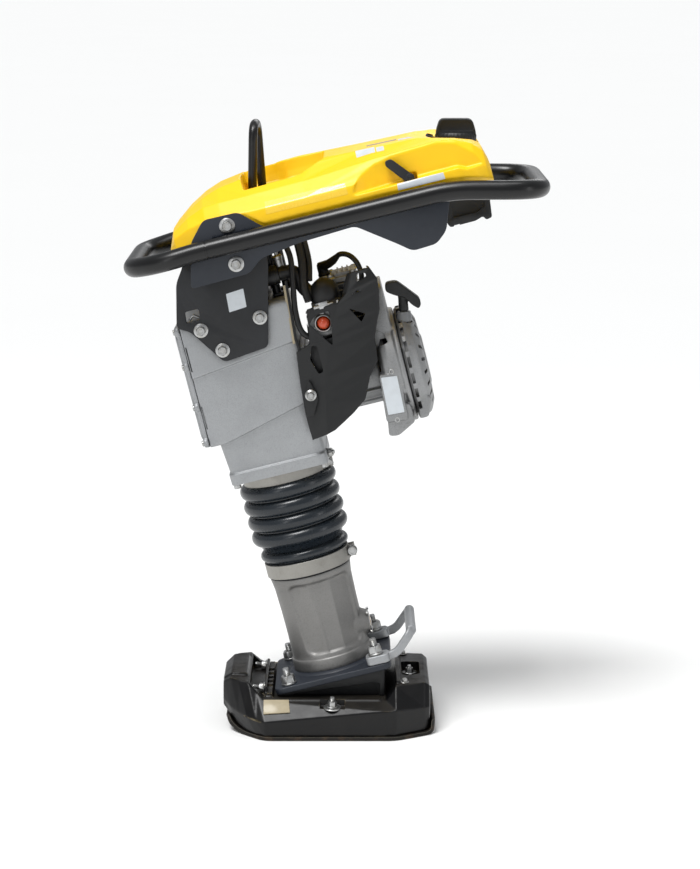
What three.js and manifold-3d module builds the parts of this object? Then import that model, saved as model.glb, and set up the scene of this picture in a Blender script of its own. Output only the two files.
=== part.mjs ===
// Jumping jack rammer: a petrol-engined vertical rammer that stands on its shoe.
// Units are millimetres, +Z is up, and the origin is the middle of the sole where it meets the ground.
// +X points from the toe of the shoe towards the operator, and -Y is the machine's left side.
// Everything above the shoe leans forward by LEAN, so it is modelled upright in the leg's own frame.
// There z runs up the leg from the flange, x runs along the guide handle and y is across the machine.
import * as THREE from "three";
import { mergeVertices } from "three/addons/utils/BufferGeometryUtils.js";
import Module from "manifold-3d";

const wasm = await Module();
wasm.setup();

// ---------- driving dimensions ----------
const GAP = 0.3; // between faces that touch
const LEAN = THREE.MathUtils.degToRad(14);
const LEG_FOOT = new THREE.Vector3(5, 0, 94);

const SHOE_LENGTH = 330;
const SHOE_WIDTH = 280;
const SOLE_THICK = 6;
const PLATEAU_Z = 58; // top of the shoe under the leg

const FLANGE_THICK = 10;
const STUD_X = 73;
const STUD_Y = 77;

const CYLINDER_R = 64;
const CYLINDER_BORE_R = 50;
const CYLINDER_FLOOR_Z = 22;
const CYLINDER_TOP_Z = 182;
const NECK_R = 36;
const NECK_BORE_R = 28;
const NECK_TOP_Z = 396;

const CASE_BOTTOM_Z = 333;
const CASE_SHOULDER_Z = 402;
const CASE_TOP_Z = 604;
const CASE_FRONT_X = -98.7;
const CASE_REAR_X = 75;
const CASE_HALF_Y = 90;

const GEAR_MODULE = 2.2;
const GEAR_TEETH = 60;
const PINION_TEETH = 12;
const SHAFT_Z = 447; // engine crankshaft and pinion
const GEAR_Z = SHAFT_Z + (GEAR_MODULE * (GEAR_TEETH + PINION_TEETH)) / 2;
const GEAR_X = [30, 42];
const CRANK_R = 25;
const ROD_LENGTH = 112;
const WRIST_Z = GEAR_Z + CRANK_R - ROD_LENGTH; // crank at top dead centre

const TUBE_R = 15;
const TUBE_Y = 156.5;
const HANDLE_Z = 713;
const HANDLE_JOIN_X = -20;
const SIDE_PLATE_Y = [136.9, 141.2];
const BRACKET_Y = [CASE_HALF_Y + GAP, CASE_HALF_Y + 8 + GAP];
const ROCK_X = 17; // cross axis of the handle's rubber mounts
const ROCK_Z = 680;

const CAP_X = 388.5;
const CAP_SEAT_Z = 766;
const ROPE_Y = -40;

// ---------- materials ----------
const paint = (color, roughness, metalness) =>
  new THREE.MeshStandardMaterial({ color, roughness, metalness });
const YELLOW = paint(0xf7c60a, 0.42, 0);
const BLACK_PAINT = paint(0x14161a, 0.35, 0.2);
const PLATE_PAINT = paint(0x242b36, 0.55, 0.2);
const BLACK_PLASTIC = paint(0x17191c, 0.6, 0);
const SHOE_PLASTIC = paint(0x101112, 0.4, 0);
const RUBBER = paint(0x23272c, 0.5, 0);
const CAST = paint(0xaab4bf, 0.5, 0.8);
const CAST_DARK = paint(0x70767c, 0.48, 0.8);
const STEEL = paint(0x9a9a98, 0.35, 1);
const SOLE_STEEL = paint(0x2b2a28, 0.55, 0.8);
const BRONZE = paint(0xa9793c, 0.4, 1);
const PRIMER_RED = paint(0xb5482a, 0.3, 0);
const ROPE = paint(0xb9b39c, 0.9, 0);
const GLASS = paint(0xc9a650, 0.15, 0);

// ---------- solids ----------
// A closed geometry as a manifold solid that faces out.
function solid(geometry) {
  const bare = geometry.index ? geometry.toNonIndexed() : geometry.clone();
  bare.deleteAttribute("normal");
  bare.deleteAttribute("uv");
  const merged = mergeVertices(bare, 1e-3);
  const index = merged.index.array;
  const kept = [];
  for (let i = 0; i < index.length; i += 3) {
    const [a, b, c] = [index[i], index[i + 1], index[i + 2]];
    if (a !== b && b !== c && a !== c) kept.push(a, b, c);
  }
  const build = (tris) =>
    new wasm.Manifold(
      new wasm.Mesh({
        numProp: 3,
        vertProperties: new Float32Array(merged.attributes.position.array),
        triVerts: new Uint32Array(tris),
      }),
    );
  const made = build(kept);
  return made.volume() >= 0 ? made : build(kept.reverse());
}

function geometryOf(manifold) {
  const mesh = manifold.getMesh();
  const position = new Float32Array(mesh.numVert * 3);
  for (let i = 0; i < mesh.numVert; i++) {
    const start = i * mesh.numProp;
    position.set(mesh.vertProperties.subarray(start, start + 3), i * 3);
  }
  const geometry = new THREE.BufferGeometry();
  geometry.setAttribute("position", new THREE.BufferAttribute(position, 3));
  geometry.setIndex(new THREE.BufferAttribute(mesh.triVerts, 1));
  geometry.computeVertexNormals();
  return geometry;
}

const join = (first, ...rest) => rest.reduce((a, b) => a.add(b), first);
const cut = (first, ...rest) => rest.reduce((a, b) => a.subtract(b), first);

function box(x, y, z) {
  const geometry = new THREE.BoxGeometry(x[1] - x[0], y[1] - y[0], z[1] - z[0]);
  return solid(geometry.translate((x[0] + x[1]) / 2, (y[0] + y[1]) / 2, (z[0] + z[1]) / 2));
}

// Permutes a geometry made along +Z so that it runs along the named axis.
const ALONG = {
  x: new THREE.Matrix4().set(0, 0, 1, 0, 1, 0, 0, 0, 0, 1, 0, 0, 0, 0, 0, 1),
  y: new THREE.Matrix4().set(0, 1, 0, 0, 0, 0, 1, 0, 1, 0, 0, 0, 0, 0, 0, 1),
  z: new THREE.Matrix4(),
};
const CROSS = {
  x: (p, q) => [0, p, q],
  y: (p, q) => [p, 0, q],
  z: (p, q) => [p, q, 0],
};

// A round bar or cone from start to end along an axis, centred at (p, q) in the other two.
function rod(axis, radius, start, end, p = 0, q = 0, sides = 16, endRadius = radius) {
  const geometry = new THREE.CylinderGeometry(endRadius, radius, end - start, sides);
  geometry.rotateX(Math.PI / 2).translate(0, 0, (start + end) / 2);
  return solid(geometry.applyMatrix4(ALONG[axis]).translate(...CROSS[axis](p, q)));
}

// A turned shape: profile points are [radius, place along the axis], and close on themselves.
function turned(axis, profile, p = 0, q = 0, sides = 24) {
  const points = [...profile, profile[0]].map(([r, along]) => new THREE.Vector2(r, along));
  const geometry = new THREE.LatheGeometry(points, sides).rotateX(Math.PI / 2);
  return solid(geometry.applyMatrix4(ALONG[axis]).translate(...CROSS[axis](p, q)));
}

const ring = (axis, inner, outer, start, end, p, q, sides) =>
  turned(axis, [[inner, start], [outer, start], [outer, end], [inner, end]], p, q, sides);

// A polygon as a shape whose corners are rounded by radius.
function outline(points, radius = 0) {
  const shape = new THREE.Shape();
  points.forEach(([x, y], i) => {
    const corner = new THREE.Vector2(x, y);
    const before = new THREE.Vector2(...points.at(i - 1));
    const after = new THREE.Vector2(...points[(i + 1) % points.length]);
    const room = Math.min(before.distanceTo(corner), after.distanceTo(corner)) * 0.45;
    const inset = Math.min(radius, room);
    const enter = corner.clone().add(before.sub(corner).setLength(inset));
    const leave = corner.clone().add(after.sub(corner).setLength(inset));
    if (i === 0) shape.moveTo(enter.x, enter.y);
    else shape.lineTo(enter.x, enter.y);
    if (inset > 0) shape.quadraticCurveTo(corner.x, corner.y, leave.x, leave.y);
  });
  return shape;
}

// A plate: a polygon in one plane, from one place to another along the axis across it.
function plate(axis, points, start, end, radius = 0) {
  const geometry = new THREE.ExtrudeGeometry(outline(points, radius), {
    depth: end - start,
    bevelEnabled: false,
    curveSegments: 3,
  });
  geometry.translate(0, 0, start);
  if (axis !== "y") return solid(geometry.applyMatrix4(ALONG[axis]));
  return solid(geometry.translate(0, 0, -start - end).rotateX(Math.PI / 2));
}

const mirrored = (made) => made.mirror([0, 1, 0]);

// A solid lofted through sections, each a list of [x, y, z] with the same number of points.
function loft(sections) {
  const count = sections[0].length;
  const position = [];
  const triangle = (a, b, c) => position.push(...a, ...b, ...c);
  const middle = (section) => [0, 1, 2].map((k) => section.reduce((sum, p) => sum + p[k], 0) / count);
  sections.slice(1).forEach((next, s) => {
    const last = sections[s];
    for (let i = 0; i < count; i++) {
      const j = (i + 1) % count;
      triangle(last[i], last[j], next[j]);
      triangle(last[i], next[j], next[i]);
    }
  });
  const [first, final] = [sections[0], sections.at(-1)];
  for (let i = 0; i < count; i++) {
    const j = (i + 1) % count;
    triangle(middle(first), first[j], first[i]);
    triangle(middle(final), final[i], final[j]);
  }
  const geometry = new THREE.BufferGeometry();
  geometry.setAttribute("position", new THREE.Float32BufferAttribute(position, 3));
  return solid(geometry);
}

// A line through corner points [x, y, z, ease], each corner rounded over its own ease length.
// It steps once along each straight and ARC_STEPS times round each corner.
const ARC_STEPS = 4;
class BentPath extends THREE.Curve {
  constructor(corners) {
    super();
    const at = corners.map(([x, y, z]) => new THREE.Vector3(x, y, z));
    this.stations = [at[0]];
    for (let i = 1; i < at.length - 1; i++) {
      const ease = corners[i][3];
      const enter = at[i].clone().add(at[i - 1].clone().sub(at[i]).setLength(ease));
      const leave = at[i].clone().add(at[i + 1].clone().sub(at[i]).setLength(ease));
      this.stations.push(...new THREE.QuadraticBezierCurve3(enter, at[i], leave).getPoints(ARC_STEPS));
    }
    this.stations.push(at.at(-1));
    this.steps = this.stations.length - 1;
  }
  getPoint(t, target = new THREE.Vector3()) {
    const place = t * this.steps;
    const i = Math.min(Math.floor(place), this.steps - 1);
    return target.lerpVectors(this.stations[i], this.stations[i + 1], place - i);
  }
  getUtoTmapping(u) {
    return u;
  }
}

function sweep(path, radius, sides = 10) {
  const section = new THREE.Shape();
  for (let i = 0; i < sides; i++) {
    const angle = (2 * Math.PI * i) / sides;
    const point = [radius * Math.cos(angle), radius * Math.sin(angle)];
    if (i === 0) section.moveTo(...point);
    else section.lineTo(...point);
  }
  const { steps } = path;
  return solid(new THREE.ExtrudeGeometry(section, { steps, extrudePath: path, bevelEnabled: false }));
}

class Helix extends THREE.Curve {
  constructor(radius, turns, start, end) {
    super();
    Object.assign(this, { radius, turns, start, end });
    this.steps = Math.round(turns * 10);
  }
  getPoint(t, target = new THREE.Vector3()) {
    const angle = 2 * Math.PI * this.turns * t;
    const height = this.start + (this.end - this.start) * t;
    return target.set(this.radius * Math.cos(angle), this.radius * Math.sin(angle), height);
  }
}

// ---------- the scene graph ----------
const rammer = new THREE.Group();
const leg = new THREE.Group();
leg.position.copy(LEG_FOOT);
leg.rotation.y = -LEAN;
rammer.add(leg);

function node(name, made, material, parent = leg) {
  const mesh = new THREE.Mesh(geometryOf(made), material);
  mesh.name = name;
  parent.add(mesh);
  return mesh;
}

// ---------- shoe ----------
function octagon(halfX, halfY, front, rear) {
  return [
    [-halfX, -halfY + front[1]], [-halfX + front[0], -halfY],
    [halfX - rear[0], -halfY], [halfX, -halfY + rear[1]],
    [halfX, halfY - rear[1]], [halfX - rear[0], halfY],
    [-halfX + front[0], halfY], [-halfX, halfY - front[1]],
  ];
}

// The steel wear plate: flat underneath, with its toe and heel turned up.
function solePlate() {
  const toe = -SHOE_LENGTH / 2;
  const heel = SHOE_LENGTH / 2;
  const t = SOLE_THICK;
  const section = [
    [toe - 3, 24], [toe + 2, 12], [toe + 15, 3], [toe + 29, 0],
    [heel - 10, 0], [heel, 4], [heel + 2, 24],
    [heel - 4, 24], [heel - 5, 9], [heel - 12, t],
    [toe + 31, t], [toe + 18, t + 3], [toe + 8, 15.5], [toe + 3, 25.5],
  ];
  const plan = octagon(heel + 3, SHOE_WIDTH / 2, [62, 66], [64, 40]);
  const bent = plate("y", section, -SHOE_WIDTH / 2, SHOE_WIDTH / 2);
  return bent.intersect(plate("z", plan, -1, 40));
}

// One cross-section of the shoe body: bottom, top of the side wall, and shoulder.
function shoeSection([x, bottomY, bottomZ, wallY, wallZ, topY, topZ]) {
  return [
    [x, -bottomY, bottomZ], [x, bottomY, bottomZ], [x, wallY, wallZ],
    [x, topY, topZ], [x, -topY, topZ], [x, -wallY, wallZ],
  ];
}

function shoeBody() {
  const base = SOLE_THICK + GAP;
  const stations = [
    [-173, 62, 38, 66, 50, 60, 76],
    [-160, 76, 26, 84, 40, 72, 85],
    [-147, 90, 11, 100, 36, 84, 85],
    [-132, 108, base, 118, 33, 92, 84],
    [-118, 124, base, 130, 31, 100, 72],
    [-104, 136, base, 139.5, 30, 112, PLATEAU_Z],
    [88, 136, base, 139.5, 48, 112, PLATEAU_Z],
    [104, 134, base, 138, 49, 104, 80],
    [150, 104, base, 110, 46, 88, 82],
    [159, 98, 11, 104, 46, 84, 76],
  ];
  const body = loft(stations.map(shoeSection));
  const toePocket = box([-129, -105], [-85, 85], [60, 90]);
  const boltPocket = (side) => box([-16, 16], side > 0 ? [112, 142] : [-142, -112], [50, 70]);
  const heelPocket = plate("z", [[100, -42], [130, -42], [130, 42], [100, 42]], 62, 90, 6);
  return cut(body, toePocket, boltPocket(1), boltPocket(-1), heelPocket);
}

// The height of the flange's underside above the ground, at a place along the shoe.
const flangeBottom = (x) =>
  LEG_FOOT.z + (x - LEG_FOOT.x) * Math.tan(LEAN) - FLANGE_THICK / Math.cos(LEAN);

function footWedge() {
  const [front, rear] = [-84, 86];
  const section = [
    [front, PLATEAU_Z + GAP], [rear, PLATEAU_Z + GAP],
    [rear, flangeBottom(rear) - GAP], [front, flangeBottom(front) - GAP],
  ];
  return plate("y", section, -84, 84);
}

// ---------- leg ----------
function cylinderFlange() {
  const corners = [[-97, -95], [93, -95], [93, 95], [-97, 95]];
  return plate("z", corners, -FLANGE_THICK, 0, 16);
}

function springCylinder() {
  const bore = CYLINDER_BORE_R;
  const wall = turned("z", [
    [bore, CYLINDER_FLOOR_Z], [0, CYLINDER_FLOOR_Z], [0, GAP],
    [CYLINDER_R + 1, GAP], [CYLINDER_R + 1, 18], [CYLINDER_R - 2, 24],
    [CYLINDER_R - 2.5, 84], [CYLINDER_R, 150], [CYLINDER_R + 2, 158],
    [CYLINDER_R - 2, 159], [CYLINDER_R - 2, CYLINDER_TOP_Z], [bore, CYLINDER_TOP_Z],
  ]);
  const glassBoss = rod("x", 27, 52, 73, 0, 52, 20, 22);
  const bossBore = rod("x", 12.5, 66, 74, 0, 52);
  return cut(join(wall, glassBoss), bossBore);
}

// Steel head of the spring cylinder and the tube that slides in the crankcase's bush.
function cylinderNeck() {
  const head = CYLINDER_TOP_Z + GAP;
  return turned("z", [
    [NECK_BORE_R, head], [58, head], [58, head + 9], [NECK_R + 4, head + 12],
    [NECK_R, head + 20], [NECK_R, NECK_TOP_Z], [NECK_BORE_R, NECK_TOP_Z],
  ]);
}

const BAND_IN_R = CYLINDER_R + 2.7;
const BELLOWS_CREST = { r: 79, top: 304.6, pitch: 25.7, folds: 4 };
const BELLOWS_SHOULDER = { r: 72, z: 196 }; // the low fold above the lower band

// A rubber sleeve of rounded folds between two plain cuffs.
function bellows() {
  const cuffR = BAND_IN_R - GAP;
  const innerR = CYLINDER_R - 1;
  const { r, top, pitch, folds } = BELLOWS_CREST;
  const shoulder = BELLOWS_SHOULDER;
  const outer = [
    [innerR, 160], [cuffR, 160], [cuffR, 186],
    [shoulder.r, shoulder.z - 4], [shoulder.r, shoulder.z + 4], [65.5, 207],
  ];
  for (let i = folds - 1; i >= 0; i--) {
    const z = top - i * pitch;
    outer.push([r, z - 5], [r, z + 5]);
    if (i > 0) outer.push([72, z + pitch / 2]);
  }
  return turned("z", [...outer, [cuffR, top + 8.5], [cuffR, CASE_BOTTOM_Z - 1], [innerR, CASE_BOTTOM_Z - 1]]);
}

// A steel band with the lugs and screw that draw it tight.
function bellowsClamp(start, end) {
  const band = ring("z", BAND_IN_R, BAND_IN_R + 2.4, start, end);
  const lug = box([BAND_IN_R + 1, BAND_IN_R + 11], [-9, 9], [start + 2, end - 2]);
  return join(band, lug);
}

// Stud, washer and nut at one corner of the flange.
function flangeNut(base) {
  return join(
    rod("z", 12, base, base + 3, 0, 0, 16),
    rod("z", 10.5, base + 3, base + 15, 0, 0, 6),
    rod("z", 5.5, base + 15, base + 27, 0, 0, 8),
  );
}

// The cast handle at the heel: two lugs under the rear nuts, two arms and a cross grip.
function shoeLiftHandle() {
  const lug = (y) => plate("z", [[56, y - 17], [92, y - 17], [92, y + 17], [56, y + 17]], GAP, 14, 8);
  const arm = (side) => {
    const path = new BentPath([
      [87, side * STUD_Y, 7.2], [108, side * STUD_Y, 7.2, 10], [134, side * (STUD_Y - 4), 32, 6],
      [136, side * 60, 38],
    ]);
    return sweep(path, 6.6, 8);
  };
  const grip = rod("y", 8.5, -68, 68, 136, 36, 12);
  const studHole = (y) => rod("z", 6.2, -1, 20, STUD_X, y, 12);
  const whole = join(lug(-STUD_Y), lug(STUD_Y), arm(-1), arm(1), grip);
  return cut(whole, studHole(-STUD_Y), studHole(STUD_Y));
}

// A helical spring with closed, flat-lying ends left plain.
function spring(radius, wire, start, end, turns) {
  return sweep(new Helix(radius, turns, start + wire + GAP, end - wire - GAP), wire, 5);
}

// ---------- crank drive ----------
// An involute spur gear as a list of points, with a tooth centred on the angle given.
function gearPoints(teeth, toothAngle) {
  const pitchR = (GEAR_MODULE * teeth) / 2;
  const pressure = THREE.MathUtils.degToRad(20);
  const baseR = pitchR * Math.cos(pressure);
  const involute = (angle) => Math.tan(angle) - angle;
  const halfAtPitch = (Math.PI / (2 * teeth)) * 0.84;
  const halfAt = (r) => {
    const angle = Math.acos(Math.min(1, baseR / r));
    return halfAtPitch + involute(pressure) - involute(angle);
  };
  const tipR = pitchR + 0.8 * GEAR_MODULE;
  const rootR = pitchR - 1.25 * GEAR_MODULE;
  const flank = [rootR, tipR].map((r) => [r, halfAt(Math.max(r, baseR))]);
  const points = [];
  for (let i = 0; i < teeth; i++) {
    const centre = toothAngle + (2 * Math.PI * i) / teeth;
    flank.forEach(([r, half]) => points.push([r, centre - half]));
    flank.toReversed().forEach(([r, half]) => points.push([r, centre + half]));
  }
  return points.map(([r, angle]) => [r * Math.cos(angle), r * Math.sin(angle)]);
}

function gear(teeth, toothAngle, z, start, end) {
  return plate("x", gearPoints(teeth, toothAngle), start, end).translate([0, 0, z]);
}

function crankGear() {
  const wheel = gear(GEAR_TEETH, -Math.PI / 2, GEAR_Z, ...GEAR_X);
  const shaft = rod("x", 14, GEAR_X[1] - 1, 61, 0, GEAR_Z, 24);
  return join(wheel, shaft);
}

// Pinion, its shaft and the drum that the clutch shoes drive.
function clutchDrum() {
  const toothGap = Math.PI / 2 + Math.PI / PINION_TEETH;
  const pinion = gear(PINION_TEETH, toothGap, SHAFT_Z, GEAR_X[0] - 2, GEAR_X[1] + 2);
  const shaft = rod("x", 8, GEAR_X[1], 84, 0, SHAFT_Z, 20);
  const drum = turned("x", [
    [0, 82], [40, 82], [40, 104], [36, 104], [36, 85], [0, 85],
  ], 0, SHAFT_Z, 24);
  return join(pinion, shaft, drum);
}

function connectingRod() {
  const bigEnd = ring("x", 12.3, 20, -8, 8, 0, WRIST_Z + ROD_LENGTH, 24);
  const smallEnd = ring("x", 8.3, 13, -8, 8, 0, WRIST_Z, 20);
  const shank = box([-6, 6], [-7, 7], [WRIST_Z + 11, WRIST_Z + ROD_LENGTH - 17]);
  return join(bigEnd, smallEnd, shank);
}

// The crosshead, the rod through the neck, and the plate between the two springs.
function pistonRod() {
  const rest = 106;
  const body = turned("z", [
    [0, rest], [47, rest], [47, rest + 12], [20, rest + 12], [12, rest + 20],
    [12, WRIST_Z - 42], [22, WRIST_Z - 32], [22, WRIST_Z + 12], [0, WRIST_Z + 12],
  ], 0, 0, 24);
  const slot = box([-9, 9], [-30, 30], [WRIST_Z - 16, WRIST_Z + 20]);
  const pinBore = rod("x", 8.2, -30, 30, 0, WRIST_Z, 20);
  return cut(body, slot, pinBore);
}

// ---------- crankcase ----------
// Side outlines of the case: each flank steps in below the brow, and again at the block's foot.
const CASE_BROW = [[-98.7, 515], [75, 536], [75, CASE_TOP_Z], [-98.7, CASE_TOP_Z]];
const CASE_BLOCK = [[-98.7, 402], [-74, 402], [75, 440], [75, CASE_TOP_Z], [-98.7, CASE_TOP_Z]];

function crankcase() {
  const y = CASE_HALF_Y;
  const slab = (half, side) => {
    const across = [[-half, 398], [half, 398], [half, CASE_TOP_Z], [-half, CASE_TOP_Z]];
    return plate("x", across, CASE_FRONT_X, CASE_REAR_X, 12).intersect(plate("y", side, -half - 1, half + 1));
  };
  const upper = slab(y - 3, CASE_BLOCK);
  const brow = slab(y, CASE_BROW);
  const section = (z, front, rear, half, chamfer) => [
    [front, -half + chamfer, z], [front + chamfer, -half, z],
    [rear - chamfer, -half, z], [rear, -half + chamfer, z],
    [rear, half - chamfer, z], [rear - chamfer, half, z],
    [front + chamfer, half, z], [front, half - chamfer, z],
  ];
  const lower = loft([
    section(CASE_BOTTOM_Z, -82, 76, 80, 14),
    section(CASE_BOTTOM_Z + 16, -83, 76, 81, 14),
    section(CASE_BOTTOM_Z + 19, -81, 75.5, 78, 16),
    section(CASE_SHOULDER_Z + 38, -88, 74, 84, 20),
  ]);
  const cavity = box([CASE_FRONT_X - 1, 45], [-76, 76], [CASE_SHOULDER_Z, CASE_TOP_Z - 6]);
  const legBore = rod("z", 44.5, CASE_BOTTOM_Z - 1, CASE_SHOULDER_Z + 1, 0, 0, 28);
  const gearSeat = rod("x", 30.5, 44, 62, 0, GEAR_Z, 24);
  const pinionSeat = rod("x", 20.5, 44, 62, 0, SHAFT_Z);
  const shaftHole = rod("x", 12, 60, CASE_REAR_X + 1, 0, SHAFT_Z);
  return cut(join(upper, brow, lower), cavity, legBore, gearSeat, pinionSeat, shaftHole);
}

function crankcaseCover() {
  const y = CASE_HALF_Y - 1;
  const corners = [[-y, 402], [y, 402], [y, CASE_TOP_Z - 2], [-y, CASE_TOP_Z - 2]];
  const panel = plate("x", corners, -105, CASE_FRONT_X - GAP, 14);
  const inset = corners.map(([a, b]) => [a * 0.9, 503 + (b - 503) * 0.88]);
  const raised = plate("x", inset, -110, -104, 18);
  return join(panel, raised);
}

// ---------- brackets and handle ----------
const BRACKET = [
  [-42, 531], [30, 538], [62, 664], [64, 698], [-66, 696], [-70, 688], [-84, 668], [-101, 600], [-82, 590],
];

// One side's mounting bracket, with its tie-down window.
function mountBracket(side) {
  const flat = plate("y", BRACKET, ...BRACKET_Y, 7);
  const window = plate("y", [[-84, 604], [-62, 604], [-60, 622], [-82, 622]], 80, 110, 4);
  const made = cut(flat, window);
  return side > 0 ? made : mirrored(made);
}

const SIDE_PLATE = [
  [-60, 659], [33, 661], [56, 679], [119, 688], [207, 692], [264, 650], [284, 634], [322, 636],
  [341, 652], [358, 699], [330, 713], [90, 718], [69, 727], [39, 756], [-16, 757], [-43, 727], [-50, 698],
];

function sidePlate(side) {
  const made = plate("y", SIDE_PLATE, ...SIDE_PLATE_Y, 8);
  return side > 0 ? made : mirrored(made);
}

// A rubber buffer between a bracket and the handle's side plate.
function shockMount(side) {
  const [from, to] = [BRACKET_Y[1] + GAP, SIDE_PLATE_Y[0] - GAP];
  const middle = (from + to) / 2;
  const made = turned("y", [
    [0, from], [21, from], [18, middle], [21, to], [0, to],
  ], ROCK_X, ROCK_Z, 24);
  return side > 0 ? made : mirrored(made);
}

// The rear part of the guide handle: two rails and the operator's grip.
function guideHandle() {
  const rearX = 498;
  const drop = Math.tan(LEAN);
  const bendX = 362;
  const along = (x) => HANDLE_Z - 1 - (x - bendX) * drop;
  const rail = (side) => [
    [HANDLE_JOIN_X, side * TUBE_Y, HANDLE_Z], [bendX, side * TUBE_Y, HANDLE_Z, 34],
    [rearX, side * TUBE_Y, along(rearX), 62],
  ];
  return sweep(new BentPath([...rail(-1), ...rail(1).reverse()]), TUBE_R, 12);
}

function frontLoop() {
  const start = HANDLE_JOIN_X - GAP;
  const frontX = -142;
  const half = (side) => [
    [start, side * TUBE_Y, HANDLE_Z], [-40, side * TUBE_Y, HANDLE_Z, 10],
    [-96, side * TUBE_Y, HANDLE_Z - 3, 30],
    [frontX, side * 118, HANDLE_Z - 4, 26],
  ];
  return sweep(new BentPath([...half(-1), ...half(1).reverse()]), TUBE_R, 12);
}

// Half widths and heights of the tank's outline at one place along it.
function tankSection([x, baseY, baseZ, sideY, sideZ, brinkY, brinkZ, shoulderY, shoulderZ, crownY, crownZ]) {
  const right = [
    [baseY, baseZ], [sideY, sideZ], [brinkY, brinkZ], [shoulderY, shoulderZ], [crownY, crownZ],
  ];
  const left = right.map(([y, z]) => [-y, z]).reverse();
  return [...right, ...left].map(([y, z]) => [x, y, z]);
}

// The filler stands upright in the world: this sets what is made round its axis in the leg's frame.
function onCap(made) {
  return made.rotate([0, THREE.MathUtils.radToDeg(LEAN), 0]).translate([CAP_X, 0, CAP_SEAT_Z]);
}

function fuelTank() {
  const low = 702;
  const body = loft([
    [-81, 84, 706, 88, 712, 88, 717, 80, 720, 56, 722],
    [-69, 104, low, 112, 722, 108, 736, 92, 745, 60, 749],
    [-42, 120, low, 129, 725, 124, 748, 100, 762, 64, 768],
    [-14, 126, low, 136, 730, 132, 754, 108, 773, 68, 784],
    [12, 127, low, 138, 731, 136, 753, 112, 775, 70, 793],
    [60, 128, low, 140, 731, 137, 752, 112, 775, 70, 800],
    [144, 128, low, 140, 731, 137, 752, 112, 776, 70, 802],
    [258, 128, low, 140, 731, 137, 754, 114, 783, 72, 797],
    [357, 128, low, 140, 729, 136, 754, 115, 786, 73, 794],
    [386, 124, low, 136, 725, 133, 750, 113, 781, 72, 788],
    [410, 114, low, 128, 718, 124, 742, 108, 769, 70, 775],
    [424, 104, low, 118, 712, 116, 730, 102, 755, 66, 760],
    [431, 94, low, 109, 708, 107, 717, 94, 732, 62, 737],
  ].map(tankSection));
  const plateSeat = SIDE_PLATE.map(([x, z]) => [ROCK_X + (x - ROCK_X) * 1.08, z + (z > 720 ? 4 : 0)]);
  const seat = plate("y", plateSeat, 135.5, 150, 6);
  // The scoop beside the throttle runs out through the rear, and its ledge has a pocket for the hub.
  const recess = plate("y", [
    [216, 739], [236, 764], [258, 779], [300, 790], [445, 790], [445, 736], [394, 735], [382, 741],
  ], 116, 150);
  const hubPocket = plate("y", [[295, 732], [317, 732], [317, 746], [295, 746]], 116, 134);
  const scoop = join(recess, hubPocket);
  const trough = plate("z", [
    [52, -98], [140, -98], [168, -82], [182, -74], [182, 60], [118, 62], [102, 70], [52, 70],
  ], 770, 812, 4);
  const bailSlot = plate("z", [[48, -44], [94, -44], [94, 44], [48, 44]], 690, 802, 8);
  const capSeat = onCap(rod("z", 38, 0, 46, 0, 0, 24));
  const filler = onCap(rod("z", 24, -34, 1));
  return cut(body, seat, mirrored(seat), scoop, mirrored(scoop), trough, bailSlot, capSeat, filler);
}

// Black moulding under the rear of the tank.
function tankGuard() {
  const section = [
    [352, 701], [345, 653], [349, 646], [389, 647], [402, 651], [406, 644], [416, 646], [421, 690], [419, 701],
  ];
  return plate("y", section, -62, 62, 3);
}

function capGasket() {
  return onCap(ring("z", 19.5, 30, GAP, 3, 0, 0, 24));
}

// Fuel cap: a plug in the filler, a knurled skirt and a grip across the top.
function fuelCap() {
  const base = 3 + GAP;
  const plug = rod("z", 18.5, -16, base + 1);
  const skirt = turned("z", [[0, base], [32.5, base], [33, base + 11], [31, base + 15], [0, base + 16]], 0, 0, 28);
  const grip = plate("y", [
    [-32, base + 9], [32, base + 9], [31, base + 18], [25, base + 36], [-25, base + 36], [-31, base + 18],
  ], -13, 13, 8);
  return onCap(join(plug, skirt, grip));
}

const LEVER_X = 306;
const LEVER_Z = 742;

function throttleLever() {
  const tip = [279, 775];
  const blade = plate("y", [
    [LEVER_X - 7, LEVER_Z - 4], [LEVER_X + 7, LEVER_Z + 2], [tip[0] + 6, tip[1] + 2],
    [tip[0] - 4, tip[1] + 1], [tip[0] - 5, tip[1] - 6],
  ], -132, -122, 3);
  const hub = rod("y", 7.5, -133, -116.5, LEVER_X, LEVER_Z, 16);
  return join(blade, hub);
}

// ---------- things on top of the crankcase ----------
// A bent bar: its legs rise through the tank's slot, then stand upright in the world.
// The left leg's foot is further forward than the right one's.
function liftingBail() {
  const foot = CASE_TOP_Z + GAP;
  const side = (y, x, topX) => [[x, y, foot], [x, y, 768, 20], [topX, y, 872, 22]];
  const path = new BentPath([...side(-32, 61, 89), ...side(32, 75, 93).reverse()]);
  return sweep(path, 7, 10);
}

function airFilterHousing() {
  const base = CASE_TOP_Z + GAP;
  const lower = box([-58, 48], [-70, 70], [base, 652]);
  const lid = box([-62, 50], [-74, 74], [652, 686]);
  const duct = rod("x", 15, 40, 72, -58, 640);
  return join(lower, lid, duct);
}

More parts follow.
